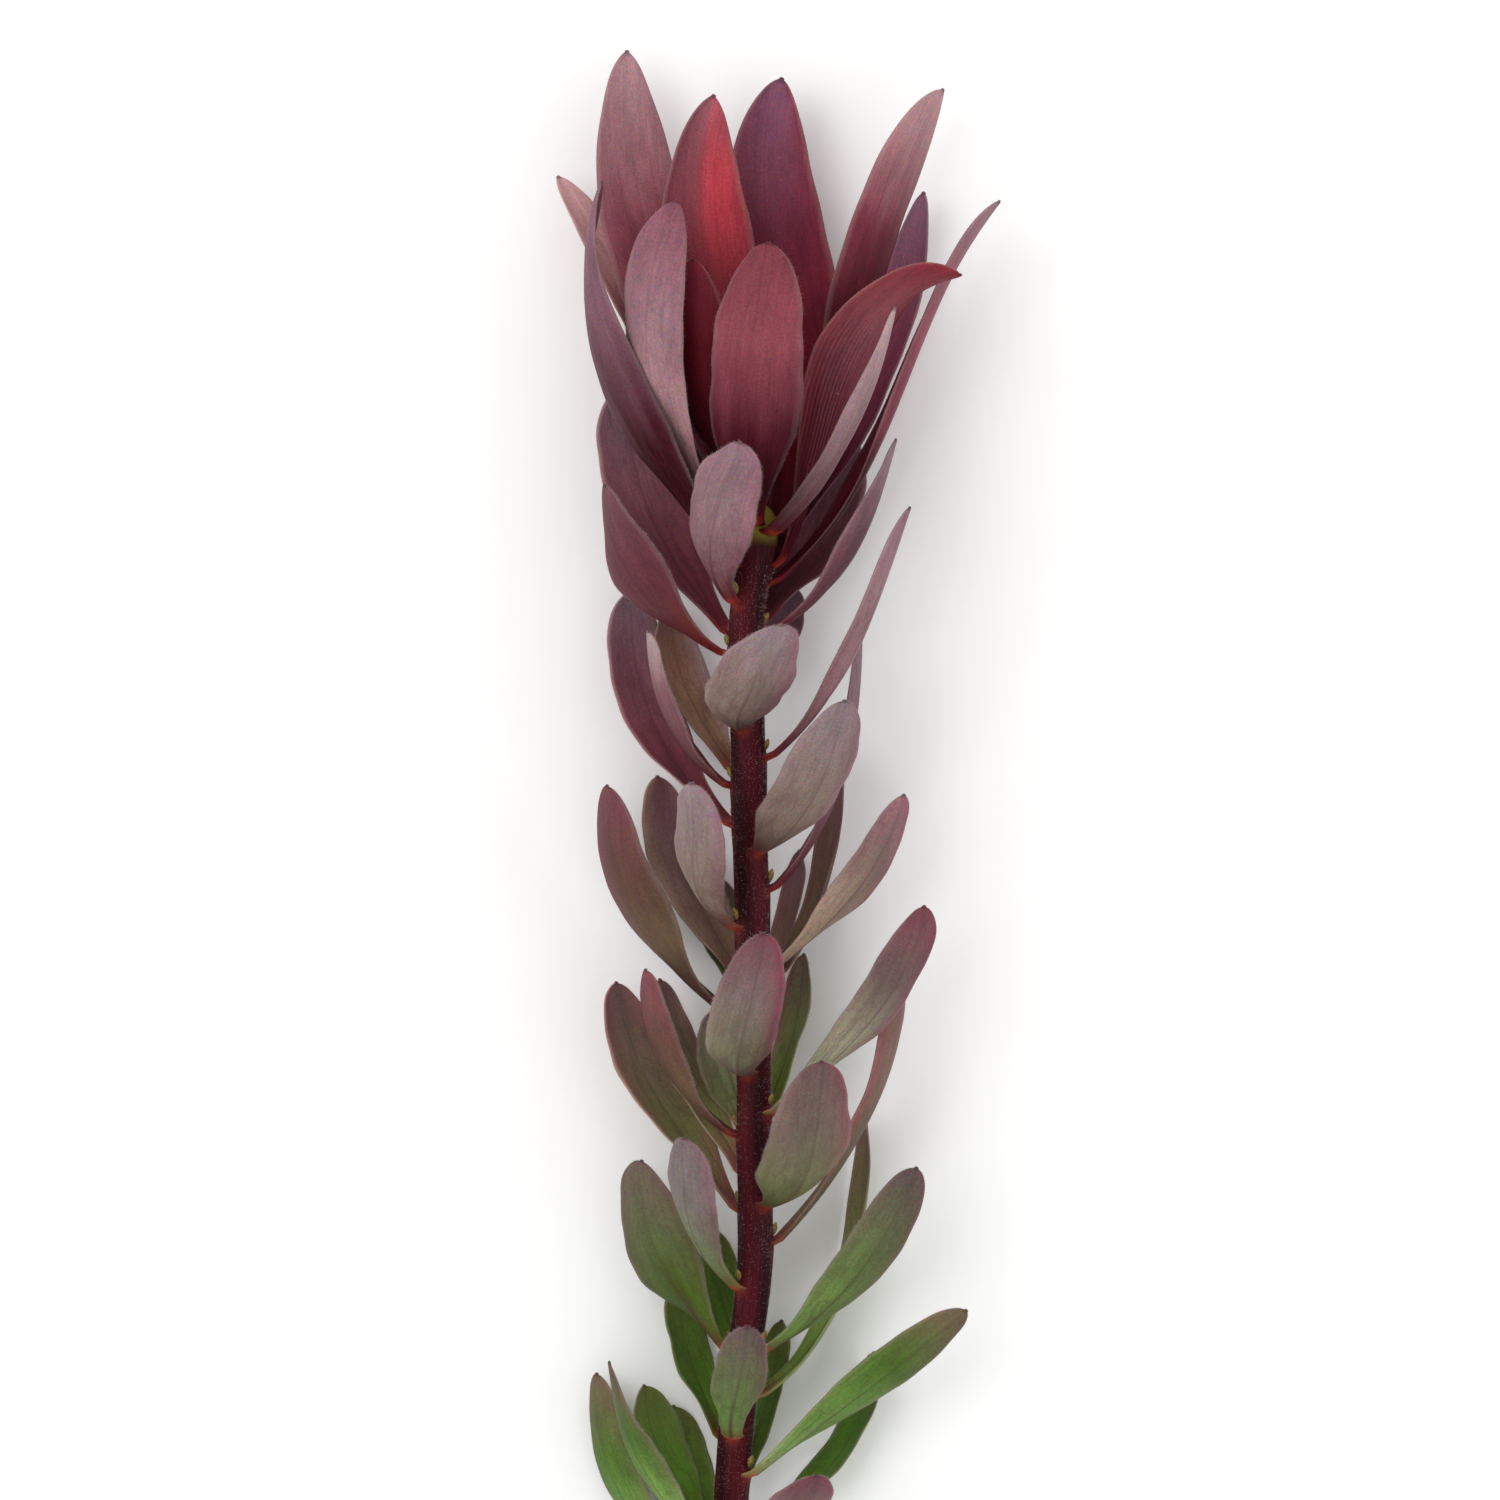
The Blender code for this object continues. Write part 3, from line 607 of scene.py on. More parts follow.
class Plan:
    """Where the plan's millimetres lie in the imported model, found from one leaf's own solid."""

    def __init__(self, stem: StemLine, outline: Outline) -> None:
        """Compares a leaf of the plan, split as its solid is, with that solid.

        Args:
            stem: The stem's line.
            outline: The blades' outline.
        """
        blade = LEAVES[0]
        low = Vector((math.inf, math.inf, math.inf))
        for section in outline.sections(blade, stem, outline.solid_stations):
            full = blade.width * max(outline.width_share(blade, section.share), outline.tip_share)
            radius = 0.5 * outline.width(full, section.root) / section.cup
            half = 0.5 * outline.thickness(outline.solid_thickness, section.share)
            for step in range(outline.solid_across + 1):
                bend = section.cup * (2.0 * step / outline.solid_across - 1.0)
                spot = section.spot(bend, radius, radius * math.sin(bend))
                facing = section.facing(bend)
                for corner in (spot + facing * half, spot - facing * half):
                    low = Vector(map(min, low, corner))
        self.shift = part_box(blade.name)[0] / MM - low
        LOG.info("plan shift %s mm", tuple(round(value, 2) for value in self.shift))

    def metres(self, spot: Vector) -> Vector:
        """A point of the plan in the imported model's metres."""
        return (spot + self.shift) * MM


class Attribute(Enum):
    """What each point of a living surface knows about itself.

    TINT is its linear colour, GRAIN its place on the surface in millimetres, for patterns of
    a real size, and MARKS its vein number, the veins' strength and the vein mesh's number.
    """

    TINT = "tint"
    GRAIN = "grain"
    MARKS = "marks"


class Material:
    """A material under construction, with the few kinds of nodes that finishes are made of.

    Noise rarely leaves the range from NOISE_LOW to NOISE_HIGH.
    """

    NOISE_LOW = 0.3
    NOISE_HIGH = 0.7

    def __init__(self, name: str) -> None:
        """Starts with an empty tree.

        Args:
            name: The material's name.
        """
        self.made = bpy.data.materials.new(name)
        self.made.use_nodes = True
        self.tree = self.made.node_tree
        self.tree.nodes.clear()

    def add(self, kind: str, links: dict[object, object], **settings: object) -> bpy.types.Node:
        """Adds a shader node, such as "Math", with what feeds its inputs and its settings."""
        return add_node(self.tree, f"ShaderNode{kind}", settings, links)

    def attribute(self, attribute: Attribute, output: str) -> bpy.types.NodeSocket:
        """What the surface knows about itself, as "Color" or as "Vector"."""
        return self.add("Attribute", {}, attribute_name=attribute.value).outputs[output]

    def position(self) -> bpy.types.NodeSocket:
        """The point's place in metres."""
        return self.add("NewGeometry", {}).outputs["Position"]

    def noise(
        self, place: bpy.types.NodeSocket, scale: float, detail: float, roughness: float = 0.5,
        stretch: tuple[float, float, float] | None = None,
    ) -> bpy.types.Node:
        """Adds noise.

        Args:
            place: What it varies over.
            scale: How fine it is.
            detail: How many finer layers it has.
            roughness: How strong those layers are.
            stretch: How fine it is along each axis, where that differs.

        Returns:
            The node.
        """
        if stretch:
            place = self.add("Mapping", {"Vector": place, "Scale": stretch}).outputs["Vector"]
        return self.add("TexNoise", {
            "Vector": place, "Scale": scale, "Detail": detail, "Roughness": roughness})

    def cells(
        self, place: bpy.types.NodeSocket, scale: float, randomness: float = 1.0, **settings: object
    ) -> bpy.types.NodeSocket:
        """A pattern of cells: how far each place is from a cell's centre, or from its edge."""
        links = {"Vector": place, "Scale": scale, "Randomness": randomness}
        return self.add("TexVoronoi", links, **settings).outputs["Distance"]

    def remap(
        self, value: bpy.types.NodeSocket, low: float, high: float, start: float, end: float,
        kind: str = "LINEAR",
    ) -> bpy.types.NodeSocket:
        """Runs from start to end while a value runs from low to high.

        Args:
            value: The value.
            low: The value at start.
            high: The value at end.
            start: What comes out at low and below.
            end: What comes out at high and above.
            kind: How it runs between them.

        Returns:
            The result.
        """
        return self.add("MapRange", {
            "Value": value, "From Min": low, "From Max": high, "To Min": start, "To Max": end,
        }, interpolation_type=kind).outputs["Result"]

    def fade(
        self, value: bpy.types.NodeSocket, low: float, high: float, share: float
    ) -> bpy.types.NodeSocket:
        """Falls smoothly from share to nothing while a value runs from low to high."""
        return self.remap(value, low, high, share, 0.0, "SMOOTHSTEP")

    def spread(self, noise: bpy.types.Node, start: float, end: float) -> bpy.types.NodeSocket:
        """Spreads noise over the range from start to end."""
        return self.remap(noise.outputs["Fac"], self.NOISE_LOW, self.NOISE_HIGH, start, end)

    def maths(self, operation: str, *values: object) -> bpy.types.NodeSocket:
        """The result of a sum with numbers."""
        return self.add("Math", dict(enumerate(values)), operation=operation).outputs["Value"]

    def vector(self, operation: str, *values: object) -> bpy.types.NodeSocket:
        """The result of a sum with vectors or colours."""
        return self.add("VectorMath", dict(enumerate(values)), operation=operation).outputs["Vector"]

    def scaled(self, colour: object, share: bpy.types.NodeSocket) -> bpy.types.NodeSocket:
        """A colour made lighter or darker."""
        return self.add("VectorMath", {0: colour, "Scale": share}, operation="SCALE").outputs["Vector"]

    def part(self, vector: bpy.types.NodeSocket, axis: str) -> bpy.types.NodeSocket:
        """One axis of a vector."""
        return self.add("SeparateXYZ", {"Vector": vector}).outputs[axis]

    def over(self, ground: object, share: bpy.types.NodeSocket, code: str) -> bpy.types.NodeSocket:
        """A ground colour of which a share is covered by an sRGB hex colour."""
        links = {"Factor": share, 6: ground, 7: opaque(code)}
        return self.add("Mix", links, data_type="RGBA").outputs[2]

    def bump(self, height: bpy.types.NodeSocket, strength: float, depth: float) -> bpy.types.NodeSocket:
        """Relief that is depth metres deep."""
        links = {"Strength": strength, "Distance": depth, "Height": height}
        return self.add("Bump", links).outputs["Normal"]

    def finish(self, colour: object, inputs: dict[str, object]) -> bpy.types.Material:
        """Ends the tree in a surface that isn't metal.

        Args:
            colour: Its colour.
            inputs: Its other values, or what feeds them.

        Returns:
            The material.
        """
        shader = self.add("BsdfPrincipled", {"Base Color": colour, "Metallic": 0.0, **inputs})
        self.add("OutputMaterial", {"Surface": shader.outputs["BSDF"]})
        return self.made


@dataclass(frozen=True)
class BladeFinish:
    """Living leaf, leathery, grown: a waxy skin over a net of veins, with fine pale down.

    down is how strong the down's sheen is. Each share is how dark the veins, midrib or specks
    are, fibre how much the fibres under the skin vary its colour, and gloss how strongly the
    wax reflects.
    """

    slot: Slot
    roughness: float
    down: float
    vein_colour: str
    vein_share: float
    midrib_share: float
    speck_colour: str
    speck_share: float
    fibre: float
    gloss: float

    BLOOM = 0.2
    CELL_CONTRAST = 0.34
    ROUGHNESS_SPREAD = 0.07

    def material(self) -> bpy.types.Material:
        """Builds the finish; its colour comes from each blade's own shade.

        Returns:
            The material.
        """
        wax = Material(f"leaf_cuticle_{self.slot.value}")
        tint = wax.attribute(Attribute.TINT, "Color")
        grain = wax.attribute(Attribute.GRAIN, "Vector")
        marks = wax.attribute(Attribute.MARKS, "Vector")
        # Uneven bloom on the skin: patches of 5 mm, drawn out along the blade.
        patches = wax.noise(grain, 0.2, 5.0, 0.65, (1.0, 0.35, 1.0))
        bloomed = wax.scaled(tint, wax.spread(patches, 1.0 - self.BLOOM, 1.0 + self.BLOOM))
        # Fibres under the skin: faint streaks 0.5 mm wide that run 30 mm along the blade.
        fibres = wax.noise(grain, 1.0, 3.0, 0.7, (2.0, 0.033, 1.0))
        streaked = wax.scaled(bloomed, wax.spread(fibres, 1.0 - self.fibre, 1.0 + self.fibre))
        # Skin cells are 0.05 mm across; they are drawn as a 0.5 mm grain, the finest that shows.
        cells = wax.noise(grain, 2.0, 4.0, 0.75)
        ends = (wax.NOISE_LOW, wax.NOISE_HIGH, 1.0 - self.CELL_CONTRAST, 1.0 + self.CELL_CONTRAST)
        links = {7 + index: (end, end, end) for index, end in enumerate(ends)}
        cell_share = wax.add("MapRange", {6: cells.outputs["Color"], **links}, data_type="FLOAT_VECTOR")
        mottled = wax.vector("MULTIPLY", streaked, cell_share.outputs["Vector"])
        # Veins: a net that opens from the foot, its meshes about 2 mm wide and 12 mm long.
        flat = wax.vector("MULTIPLY", marks, (1.0, 0.0, 1.0))
        bends = wax.noise(grain, 0.3, 2.0)
        lanes = wax.vector("MULTIPLY_ADD", bends.outputs["Color"], (0.9, 0.0, 0.9), flat)
        vein = wax.fade(wax.cells(lanes, 1.0, 0.9, feature="DISTANCE_TO_EDGE"), 0.0, 0.09, self.vein_share)
        # Midrib: a darker line 0.5 mm wide, which fades towards the tip.
        middle = wax.fade(wax.maths("ABSOLUTE", wax.part(grain, "X")), 0.1, 0.6, self.midrib_share)
        line = wax.maths("MULTIPLY", wax.maths("MAXIMUM", vein, middle), wax.part(marks, "Y"))
        veined = wax.over(mottled, line, self.vein_colour)
        # Specks: dead cells and spray marks of 0.2 to 0.4 mm, two or three to each square centimetre.
        speck = wax.fade(wax.cells(grain, 0.16), 0.018, 0.045, self.speck_share)
        # Leathery relief: a pebbled skin, with the veins a little sunken.
        relief = wax.maths("SUBTRACT", cells.outputs["Fac"], line)
        return wax.finish(wax.over(veined, speck, self.speck_colour), {
            "Roughness": wax.spread(
                patches, self.roughness - self.ROUGHNESS_SPREAD, self.roughness + self.ROUGHNESS_SPREAD),
            "Normal": wax.bump(relief, 0.4, 0.2 * MM),
            "IOR": 1.42,
            "Specular IOR Level": self.gloss,
            "Sheen Weight": self.down,
            "Sheen Roughness": 0.5,
            "Sheen Tint": opaque("#e6dcdc"),
        })


@dataclass(frozen=True)
class BarkFinish:
    """Young bark, grown: dark maroon with red strands, smooth but for a fine silvery down."""

    roughness: float = 0.55
    strand_colour: str = "#6c1a26"
    strand_share: float = 0.55
    pore_colour: str = "#74484a"
    pore_share: float = 0.4
    gloss: float = 0.12
    down: float = 0.015

    def material(self) -> bpy.types.Material:
        """Builds the finish; its ground colour comes from the stem's own points.

        Returns:
            The material.
        """
        skin = Material("young_bark")
        grain = skin.attribute(Attribute.GRAIN, "Vector")
        # Strands of fibre under the skin: 0.6 mm wide and about 12 mm long.
        strands = skin.noise(grain, 1.0, 5.0, 0.65, (1.6, 0.08, 1.0))
        strand = skin.remap(strands.outputs["Fac"], 0.5, 0.68, 0.0, self.strand_share, "SMOOTHSTEP")
        streaked = skin.over(skin.attribute(Attribute.TINT, "Color"), strand, self.strand_colour)
        # Breathing pores: pale dots of 0.3 mm, drawn out along the stem.
        pore_way = skin.add("Mapping", {"Vector": grain, "Scale": (1.0, 0.45, 1.0)}).outputs["Vector"]
        pore = skin.fade(skin.cells(pore_way, 0.8), 0.08, 0.18, self.pore_share)
        return skin.finish(skin.over(streaked, pore, self.pore_colour), {
            "Roughness": self.roughness,
            "Normal": skin.bump(strands.outputs["Fac"], 0.5, 0.4 * MM),
            "IOR": 1.45,
            "Specular IOR Level": self.gloss,
            "Sheen Weight": self.down,
            "Sheen Roughness": 0.45,
            "Sheen Tint": opaque("#e8dcdc"),
        })


@dataclass(frozen=True)
class CutWoodFinish:
    """Green wood, knife-cut: damp cream fibres round a soft pith, under a thin green bark.

    centre and radius are the cut's, in metres.
    """

    centre: Vector
    radius: float
    pith: str = "#e9dfc4"
    wood: str = "#d9c79c"
    bast: str = "#7d8a4a"
    vessel: str = "#b89b68"
    vessel_share: float = 0.6
    roughness: float = 0.6

    # Where each ring lies, as a share of the radius.
    PITH_END, WOOD_RINGS, BAST_START = 0.18, (0.26, 0.84), 0.93

    def material(self) -> bpy.types.Material:
        """Builds the finish as rings about the stem's middle.

        Returns:
            The material.
        """
        cut = Material("green_wood_cut")
        place = cut.position()
        flat = cut.vector("MULTIPLY", cut.vector("SUBTRACT", place, tuple(self.centre)), (1.0, 0.0, 1.0))
        distance = cut.add("VectorMath", {0: flat}, operation="LENGTH").outputs["Value"]
        rings = cut.add("ValToRGB", {"Fac": cut.maths("DIVIDE", distance, self.radius)})
        stops = rings.color_ramp.elements
        stops[0].position, stops[0].color = self.PITH_END, opaque(self.pith)
        stops[1].position, stops[1].color = self.BAST_START, opaque(self.bast)
        for position in self.WOOD_RINGS:
            stops.new(position).color = opaque(self.wood)
        # Vessels: open pores of 0.1 mm, drawn at 0.25 mm so that they show.
        vessels = cut.noise(place, 4000.0, 2.0).outputs["Fac"]
        vessel = cut.remap(vessels, 0.5, 0.75, 0.0, self.vessel_share)
        return cut.finish(
            cut.over(rings.outputs["Color"], vessel, self.vessel), {"Roughness": self.roughness, "IOR": 1.4})


@dataclass(frozen=True)
class DownFinish:
    """Plant down, grown: dry translucent hairs that look silver where light catches them."""

    colour: str = "#c4b2b2"
    darkest: float = 0.7
    roughness: float = 0.45

    def material(self) -> bpy.types.Material:
        """Builds the finish; tufts of hairs 3 mm across differ in lightness.

        Returns:
            The material.
        """
        hair = Material("silver_down")
        tone = hair.spread(hair.noise(hair.position(), 300.0, 1.0), self.darkest, 1.0)
        return hair.finish(
            hair.scaled(linear(self.colour), tone), {"Roughness": self.roughness, "IOR": 1.55})


@dataclass(frozen=True)
class BudFinish:
    """Resting bud, felted: olive scales with a yellow-brown felt."""

    scale: str = "#6a4c20"
    felt: str = "#94802e"
    roughness: float = 0.7
    down: float = 0.3

    def material(self) -> bpy.types.Material:
        """Builds the finish; its felt is 0.5 mm coarse.

        Returns:
            The material.
        """
        bud = Material("felted_bud_scale")
        felt = bud.noise(bud.position(), 1800.0, 3.0).outputs["Fac"]
        colour = bud.over(opaque(self.scale), bud.remap(felt, 0.35, 0.65, 0.0, 1.0), self.felt)
        return bud.finish(colour, {
            "Roughness": self.roughness, "Normal": bud.bump(felt, 0.6, 0.2 * MM), "IOR": 1.45,
            "Sheen Weight": self.down})


@dataclass(frozen=True)
class PaperFinish:
    """White paper, rolled: a matt sweep that hardly shines."""

    colour: str = "#fafaf9"
    roughness: float = 0.9
    gloss: float = 0.1

    def material(self) -> bpy.types.Material:
        """Builds the finish."""
        inputs = {"Roughness": self.roughness, "Specular IOR Level": self.gloss}
        return Material("matt_white_sweep").finish(opaque(self.colour), inputs)


def new_object(name: str, made: object) -> bpy.types.Object:
    """Puts a mesh, lamp or camera into the scene.

    Args:
        name: The object's name.
        made: The mesh, lamp or camera.

    Returns:
        The object.
    """
    found = bpy.data.objects.new(name, made)
    bpy.context.scene.collection.objects.link(found)
    return found


def add_piece(
    name: str, mesh: bpy.types.Mesh, slot: Slot, materials: Sequence[bpy.types.Material],
    node: str | None = None,
) -> bpy.types.Object:
    """Makes a mesh a visible piece of the part's one body.

    Args:
        name: The piece's name.
        mesh: Its mesh.
        slot: Its material slot; not used.
        materials: Its materials, in the order that its faces number them.
        node: The solid that it stands in for.

    Returns:
        The piece.
    """
    for material in materials:
        mesh.materials.append(material)
    piece = new_object(name, mesh)
    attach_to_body(piece, BODY)
    if node:
        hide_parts(node)
    return piece


def close_body(body: bmesh.types.BMesh, name: str) -> bpy.types.Mesh:
    """Turns a body's faces outwards and makes a mesh of it.

    Args:
        body: The body, which is freed.
        name: The mesh's name.

    Returns:
        The mesh.
    """
    bmesh.ops.recalc_face_normals(body, faces=body.faces)
    mesh = bpy.data.meshes.new(name)
    body.to_mesh(mesh)
    body.free()
    return mesh


@dataclass
class Skin:
    """A living surface while it grows: rows of points, and what each knows about itself."""

    plan: Plan
    loop: int
    body: bmesh.types.BMesh = field(default_factory=bmesh.new)
    verts: list[bmesh.types.BMVert] = field(default_factory=list)
    tints: list[tuple[float, ...]] = field(default_factory=list)
    grains: list[tuple[float, float, float]] = field(default_factory=list)
    marks: list[tuple[float, float, float]] = field(default_factory=list)

    def add(
        self, spot: Vector, tint: Colour, grain: tuple[float, float, float],
        mark: tuple[float, float, float] = (0.0, 0.0, 0.0),
    ) -> None:
        """Adds a point to the row.

        Args:
            spot: Its place in the plan.
            tint: Its linear colour.
            grain: Its place on the surface, in millimetres.
            mark: Its vein number, vein strength and mesh number.
        """
        self.verts.append(self.body.verts.new(self.plan.metres(spot)))
        self.tints.append((*tint, 1.0))
        self.grains.append(grain)
        self.marks.append(mark)

    def join_rows(self) -> None:
        """Joins each row to the next, as a tube."""
        for start in range(0, len(self.verts) - self.loop, self.loop):
            for index in range(self.loop):
                after = (index + 1) % self.loop
                self.body.faces.new([
                    self.verts[start + place]
                    for place in (index, after, self.loop + after, self.loop + index)])

    def mesh(self, name: str) -> bpy.types.Mesh:
        """Makes the mesh and stores what its points know.

        Args:
            name: Its name.

        Returns:
            The mesh.
        """
        mesh = close_body(self.body, name)
        tint = mesh.color_attributes.new(name=Attribute.TINT.value, type="FLOAT_COLOR", domain="POINT")
        tint.data.foreach_set("color", np.array(self.tints, np.float32).ravel())
        for attribute, values in ((Attribute.GRAIN, self.grains), (Attribute.MARKS, self.marks)):
            stored = mesh.attributes.new(name=attribute.value, type="FLOAT_VECTOR", domain="POINT")
            stored.data.foreach_set("vector", np.array(values, np.float32).ravel())
        return mesh


@dataclass
class Margin:
    """One side's margin of a blade: points in the plan, each with the ways out and to the tip."""

    slot: Slot
    points: list[tuple[Vector, Vector, Vector]] = field(default_factory=list)


@dataclass
class BladeBuilder:
    """Makes leaves and bracts as thin closed bodies with rounded rims and a hard, blunt tip.

    Sizes are millimetres: thickness at the midrib, at the rim and in the rim at the tip, how
    far the midrib stands out and how wide it is, how far the foot sinks into the stem, the
    callus that ends the blade, how sharply the blade is folded along its midrib, the meshes
    of its veins, how wide its pleats are and how far up its foot is coral, and red deepened
    with painted shade. margins fills as blades are built.
    """

    stem: StemLine
    outline: Outline
    plan: Plan
    rows: int = 60
    across: int = 14
    even_rows: int = 38
    even_end: float = 0.78
    length_steps: int = 24
    middle_thickness: float = 0.62
    rim_thickness: float = 0.3
    tip_thickening: float = 0.15
    rib_height: float = 0.16
    rib_width: float = 0.5625
    sink: float = 1.1
    callus_rows: int = 4
    callus_length: float = 0.45
    callus_width: float = 1.0
    callus_end: float = 0.15
    keel: float = 0.4
    vein_spacing: float = 2.0
    vein_length: float = 12.0
    coral_length: float = 3.0
    foot_red_and_shade_length: float = 9.0
    unevenness: float = 0.03
    pleat_steps: int = 6
    pleat_width: float = 1.3
    floor_gap: float = 0.04
    margins: list[Margin] = field(default_factory=list)

    # What chance decides for each blade: waves of its margins, lean of its cup, where its
    # patterns start and its lightness.
    WAVES = (1.6, 2.6)
    BIAS = (-0.05, 0.05)
    SEED_PLACES = (0.0, 400.0)
    TONES = (0.97, 1.03)
    # Shares of a blade's length at which forms start or end, or over which they rise or fade.
    RISE = 0.3
    SKEW_START, SKEW_POWER = 0.7, 1.5
    FOLD_RISE = 0.25
    WAVE_FADE = 0.12
    DENT_FADE = 0.04
    PLEAT_RISE, PLEAT_END, PLEAT_FADE = 0.15, 0.58, 0.3
    TIP_START = 0.98
    VEIN_RISE = 0.06
    # Margins aren't quite even: two sets of shallow dents, each with its size and number.
    DENTS = ((0.6, 17.0), (0.4, 41.0))
    # Lanes of a blade whose colours run ahead: how far, how many and which random start they take.
    LANES = ((0.05, 7.0, 0), (0.035, 15.0, 4))
    # How far the pleats' ridges take paler colours and their hollows darker ones: painted highlight and
    # shade.
    PLEAT_PAINTED_LIGHT = 0.9
    PLEAT_SWAY, PLEAT_TURN = 3.0, 2.2
    # Powers and shares of the section's own form.
    RIM_ROUNDNESS = 0.6
    RIB_FADE = 0.7
    RIB_GROOVE = 0.45
    VEIN_FADE = 0.75
    VEIN_SPREAD, VEIN_OPENING = 0.5, 0.6
    PLEAT_EDGE, VEIN_EDGE = 4, 6
    # How far apart the patterns of a blade's two faces lie, in mm.
    FACE_SHIFT = 7.0

    # Colours with how much they cover at most; side runs from -1 to 1, and lengths are shares.
    CORAL, CORAL_WIDTH, CORAL_OUTSIDE, CORAL_INSIDE = "#d24c34", 0.7, 0.9, 0.4
    # The foot's own red, deepened with painted shade where the blade meets the stem.
    FOOT_RED, FOOT_RED_MOST = "#6a1a22", 0.55
    STREAK, STREAK_WIDTH, STREAK_START, STREAK_LENGTH = "#4a181c", 0.24, 0.08, 0.5
    MARGIN, MARGIN_MOST, MARGIN_SHARPNESS, MARGIN_RISE = "#b09a96", 0.2, 30, 0.2
    # GLOW is painted light: light shining through the red flesh, painted as a brighter red patch.
    GLOW, GLOW_SIDE, GLOW_WIDTH, GLOW_PLACE, GLOW_LENGTH = "#cc3c46", -0.48, 0.5, 0.79, 0.22
    CALLUS, CALLUS_MOST, CALLUS_START = "#3c2426", 0.55, 0.99
    FLUSH_SHARPNESS, FLUSH_MOST, FLUSH_RISE = 2.4, 0.85, 0.45

    def stations(self) -> list[tuple[float, float]]:
        """Chooses places along a blade, closer together towards its tip.

        Returns:
            Pairs of a share of the blade's length and a share of its callus's length.
        """
        near = self.rows - self.even_rows
        found = [(self.even_end * index / self.even_rows, 0.0) for index in range(self.even_rows)]
        for index in range(near):
            turn = 0.5 * math.pi * index / (near - 1)
            found.append((self.even_end + (1.0 - self.even_end) * math.sin(turn), 0.0))
        return found + [(1.0, (index + 1) / self.callus_rows) for index in range(self.callus_rows)]

    def build(self, blade: Blade) -> bpy.types.Mesh:
        """Builds one blade with what its finish needs to know at each point.

        Args:
            blade: The blade.

        Returns:
            The mesh.
        """
        draw = random.Random(blade.name)
        outline = self.outline
        points, outward = outline.midrib(blade, self.stem)
        line = [on_curve(points, step / self.length_steps)[0] for step in range(self.length_steps + 1)]
        length = sum((end - start).length for start, end in zip(line, line[1:]))
        waves = 2.0 * math.pi * draw.uniform(*self.WAVES)
        starts = [draw.uniform(0.0, 2.0 * math.pi) for _ in range(6)]
        bias = draw.uniform(*self.BIAS)
        seed_place = draw.uniform(*self.SEED_PLACES)
        # blade.light is painted light or shade on the whole blade: it brightens blades that lie in shade and
        # darkens a few lit too brightly; the draw adds the blade's own small change of tone.
        tone = blade.light * draw.uniform(*self.TONES)
        lanes_each_side = 0.5 * blade.width / self.vein_spacing
        across = self.across * (self.pleat_steps if blade.pleats else 1)
        skin = Skin(self.plan, 2 * (across + 1))
        rims = (Margin(blade.slot), Margin(blade.slot))
        self.margins += rims
        places = self.stations()
        sections = outline.sections(blade, self.stem, [share for share, _ in places])
        for (share, beyond), section in zip(places, sections):
            section.place += section.along * (self.callus_length * beyond)
            if share == 0.0:
                section.place -= outward * self.sink
            section.place += section.lateral * (
                blade.skew * ease((share - self.SKEW_START) / (1.0 - self.SKEW_START)) ** self.SKEW_POWER)
            # The callus rounds off like half an egg.
            round_off = max(math.sqrt(1.0 - beyond * beyond), self.callus_end)
            full = max(blade.width * outline.width_share(blade, share), self.callus_width)
            width = outline.width(full, section.root) * round_off
            radius = 0.5 * width / section.cup
            swell = outline.thickness(self.middle_thickness, share) * round_off
            at_tip = ease((share - self.TIP_START) / (1.0 - self.TIP_START))
            rim_thick = self.rim_thickness + self.tip_thickening * at_tip * round_off
            # Each form rises from the foot and fades before the tip.
            rib = self.rib_height * (1.0 - share) ** self.RIB_FADE
            fold = self.keel * ease(share / self.FOLD_RISE) * (1.0 - share)
            wave_size = blade.wave * ease(share / self.RISE) * ease((1.0 - share) / self.WAVE_FADE)
            dent_size = self.unevenness * ease(share / self.RISE) * ease((1.0 - share) / self.DENT_FADE)
            pleat_height = blade.pleats * ease(share / self.PLEAT_RISE)
            pleat_height *= 1.0 - ease((share - self.PLEAT_END) / self.PLEAT_FADE)
            for face, steps in enumerate((range(across + 1), range(across, -1, -1))):
                for step in steps:
                    side = 2.0 * step / across - 1.0
                    inward = 1.0 - side * side
                    from_rib = 0.5 * width * side
                    bend = section.cup * side
                    # Each margin has three random starts of its own.
                    start = starts[0 if side > 0.0 else 3:]
                    dents = sum(
                        size * math.sin(number * share + place)
                        for (size, number), place in zip(self.DENTS, start))
                    reach = radius * math.sin(bend + bias * section.cup * inward)
                    reach *= 1.0 + dent_size * abs(side) * dents
                    facing = section.facing(bend)
                    ripple = wave_size * side * side * math.sin(waves * share + start[2])
                    ripple += fold * (0.5 - abs(side))
                    pleat = math.sin(
                        2.0 * math.pi * from_rib / self.pleat_width
                        + self.PLEAT_SWAY * math.sin(self.PLEAT_TURN * share))
                    ripple += pleat_height * pleat * (1.0 - side ** self.PLEAT_EDGE)
                    thick = rim_thick + (swell - rim_thick) * inward ** self.RIM_ROUNDNESS
                    ridge = rib * math.exp(-(from_rib / self.rib_width) ** 2)
                    lift = 0.5 * thick + ridge if face == 0 else self.RIB_GROOVE * ridge - 0.5 * thick
                    spot = section.spot(bend, radius, reach) + facing * (ripple + lift)
                    spot.z = max(spot.z, self.floor_gap if face == 0 else 0.0)
                    if face == 0 and abs(side) == 1.0:
                        out = (section.lateral * math.cos(bend) - section.turned * math.sin(bend)) * side
                        rims[step // across].points.append(
                            (spot - facing * (0.5 * rim_thick), out, section.along))
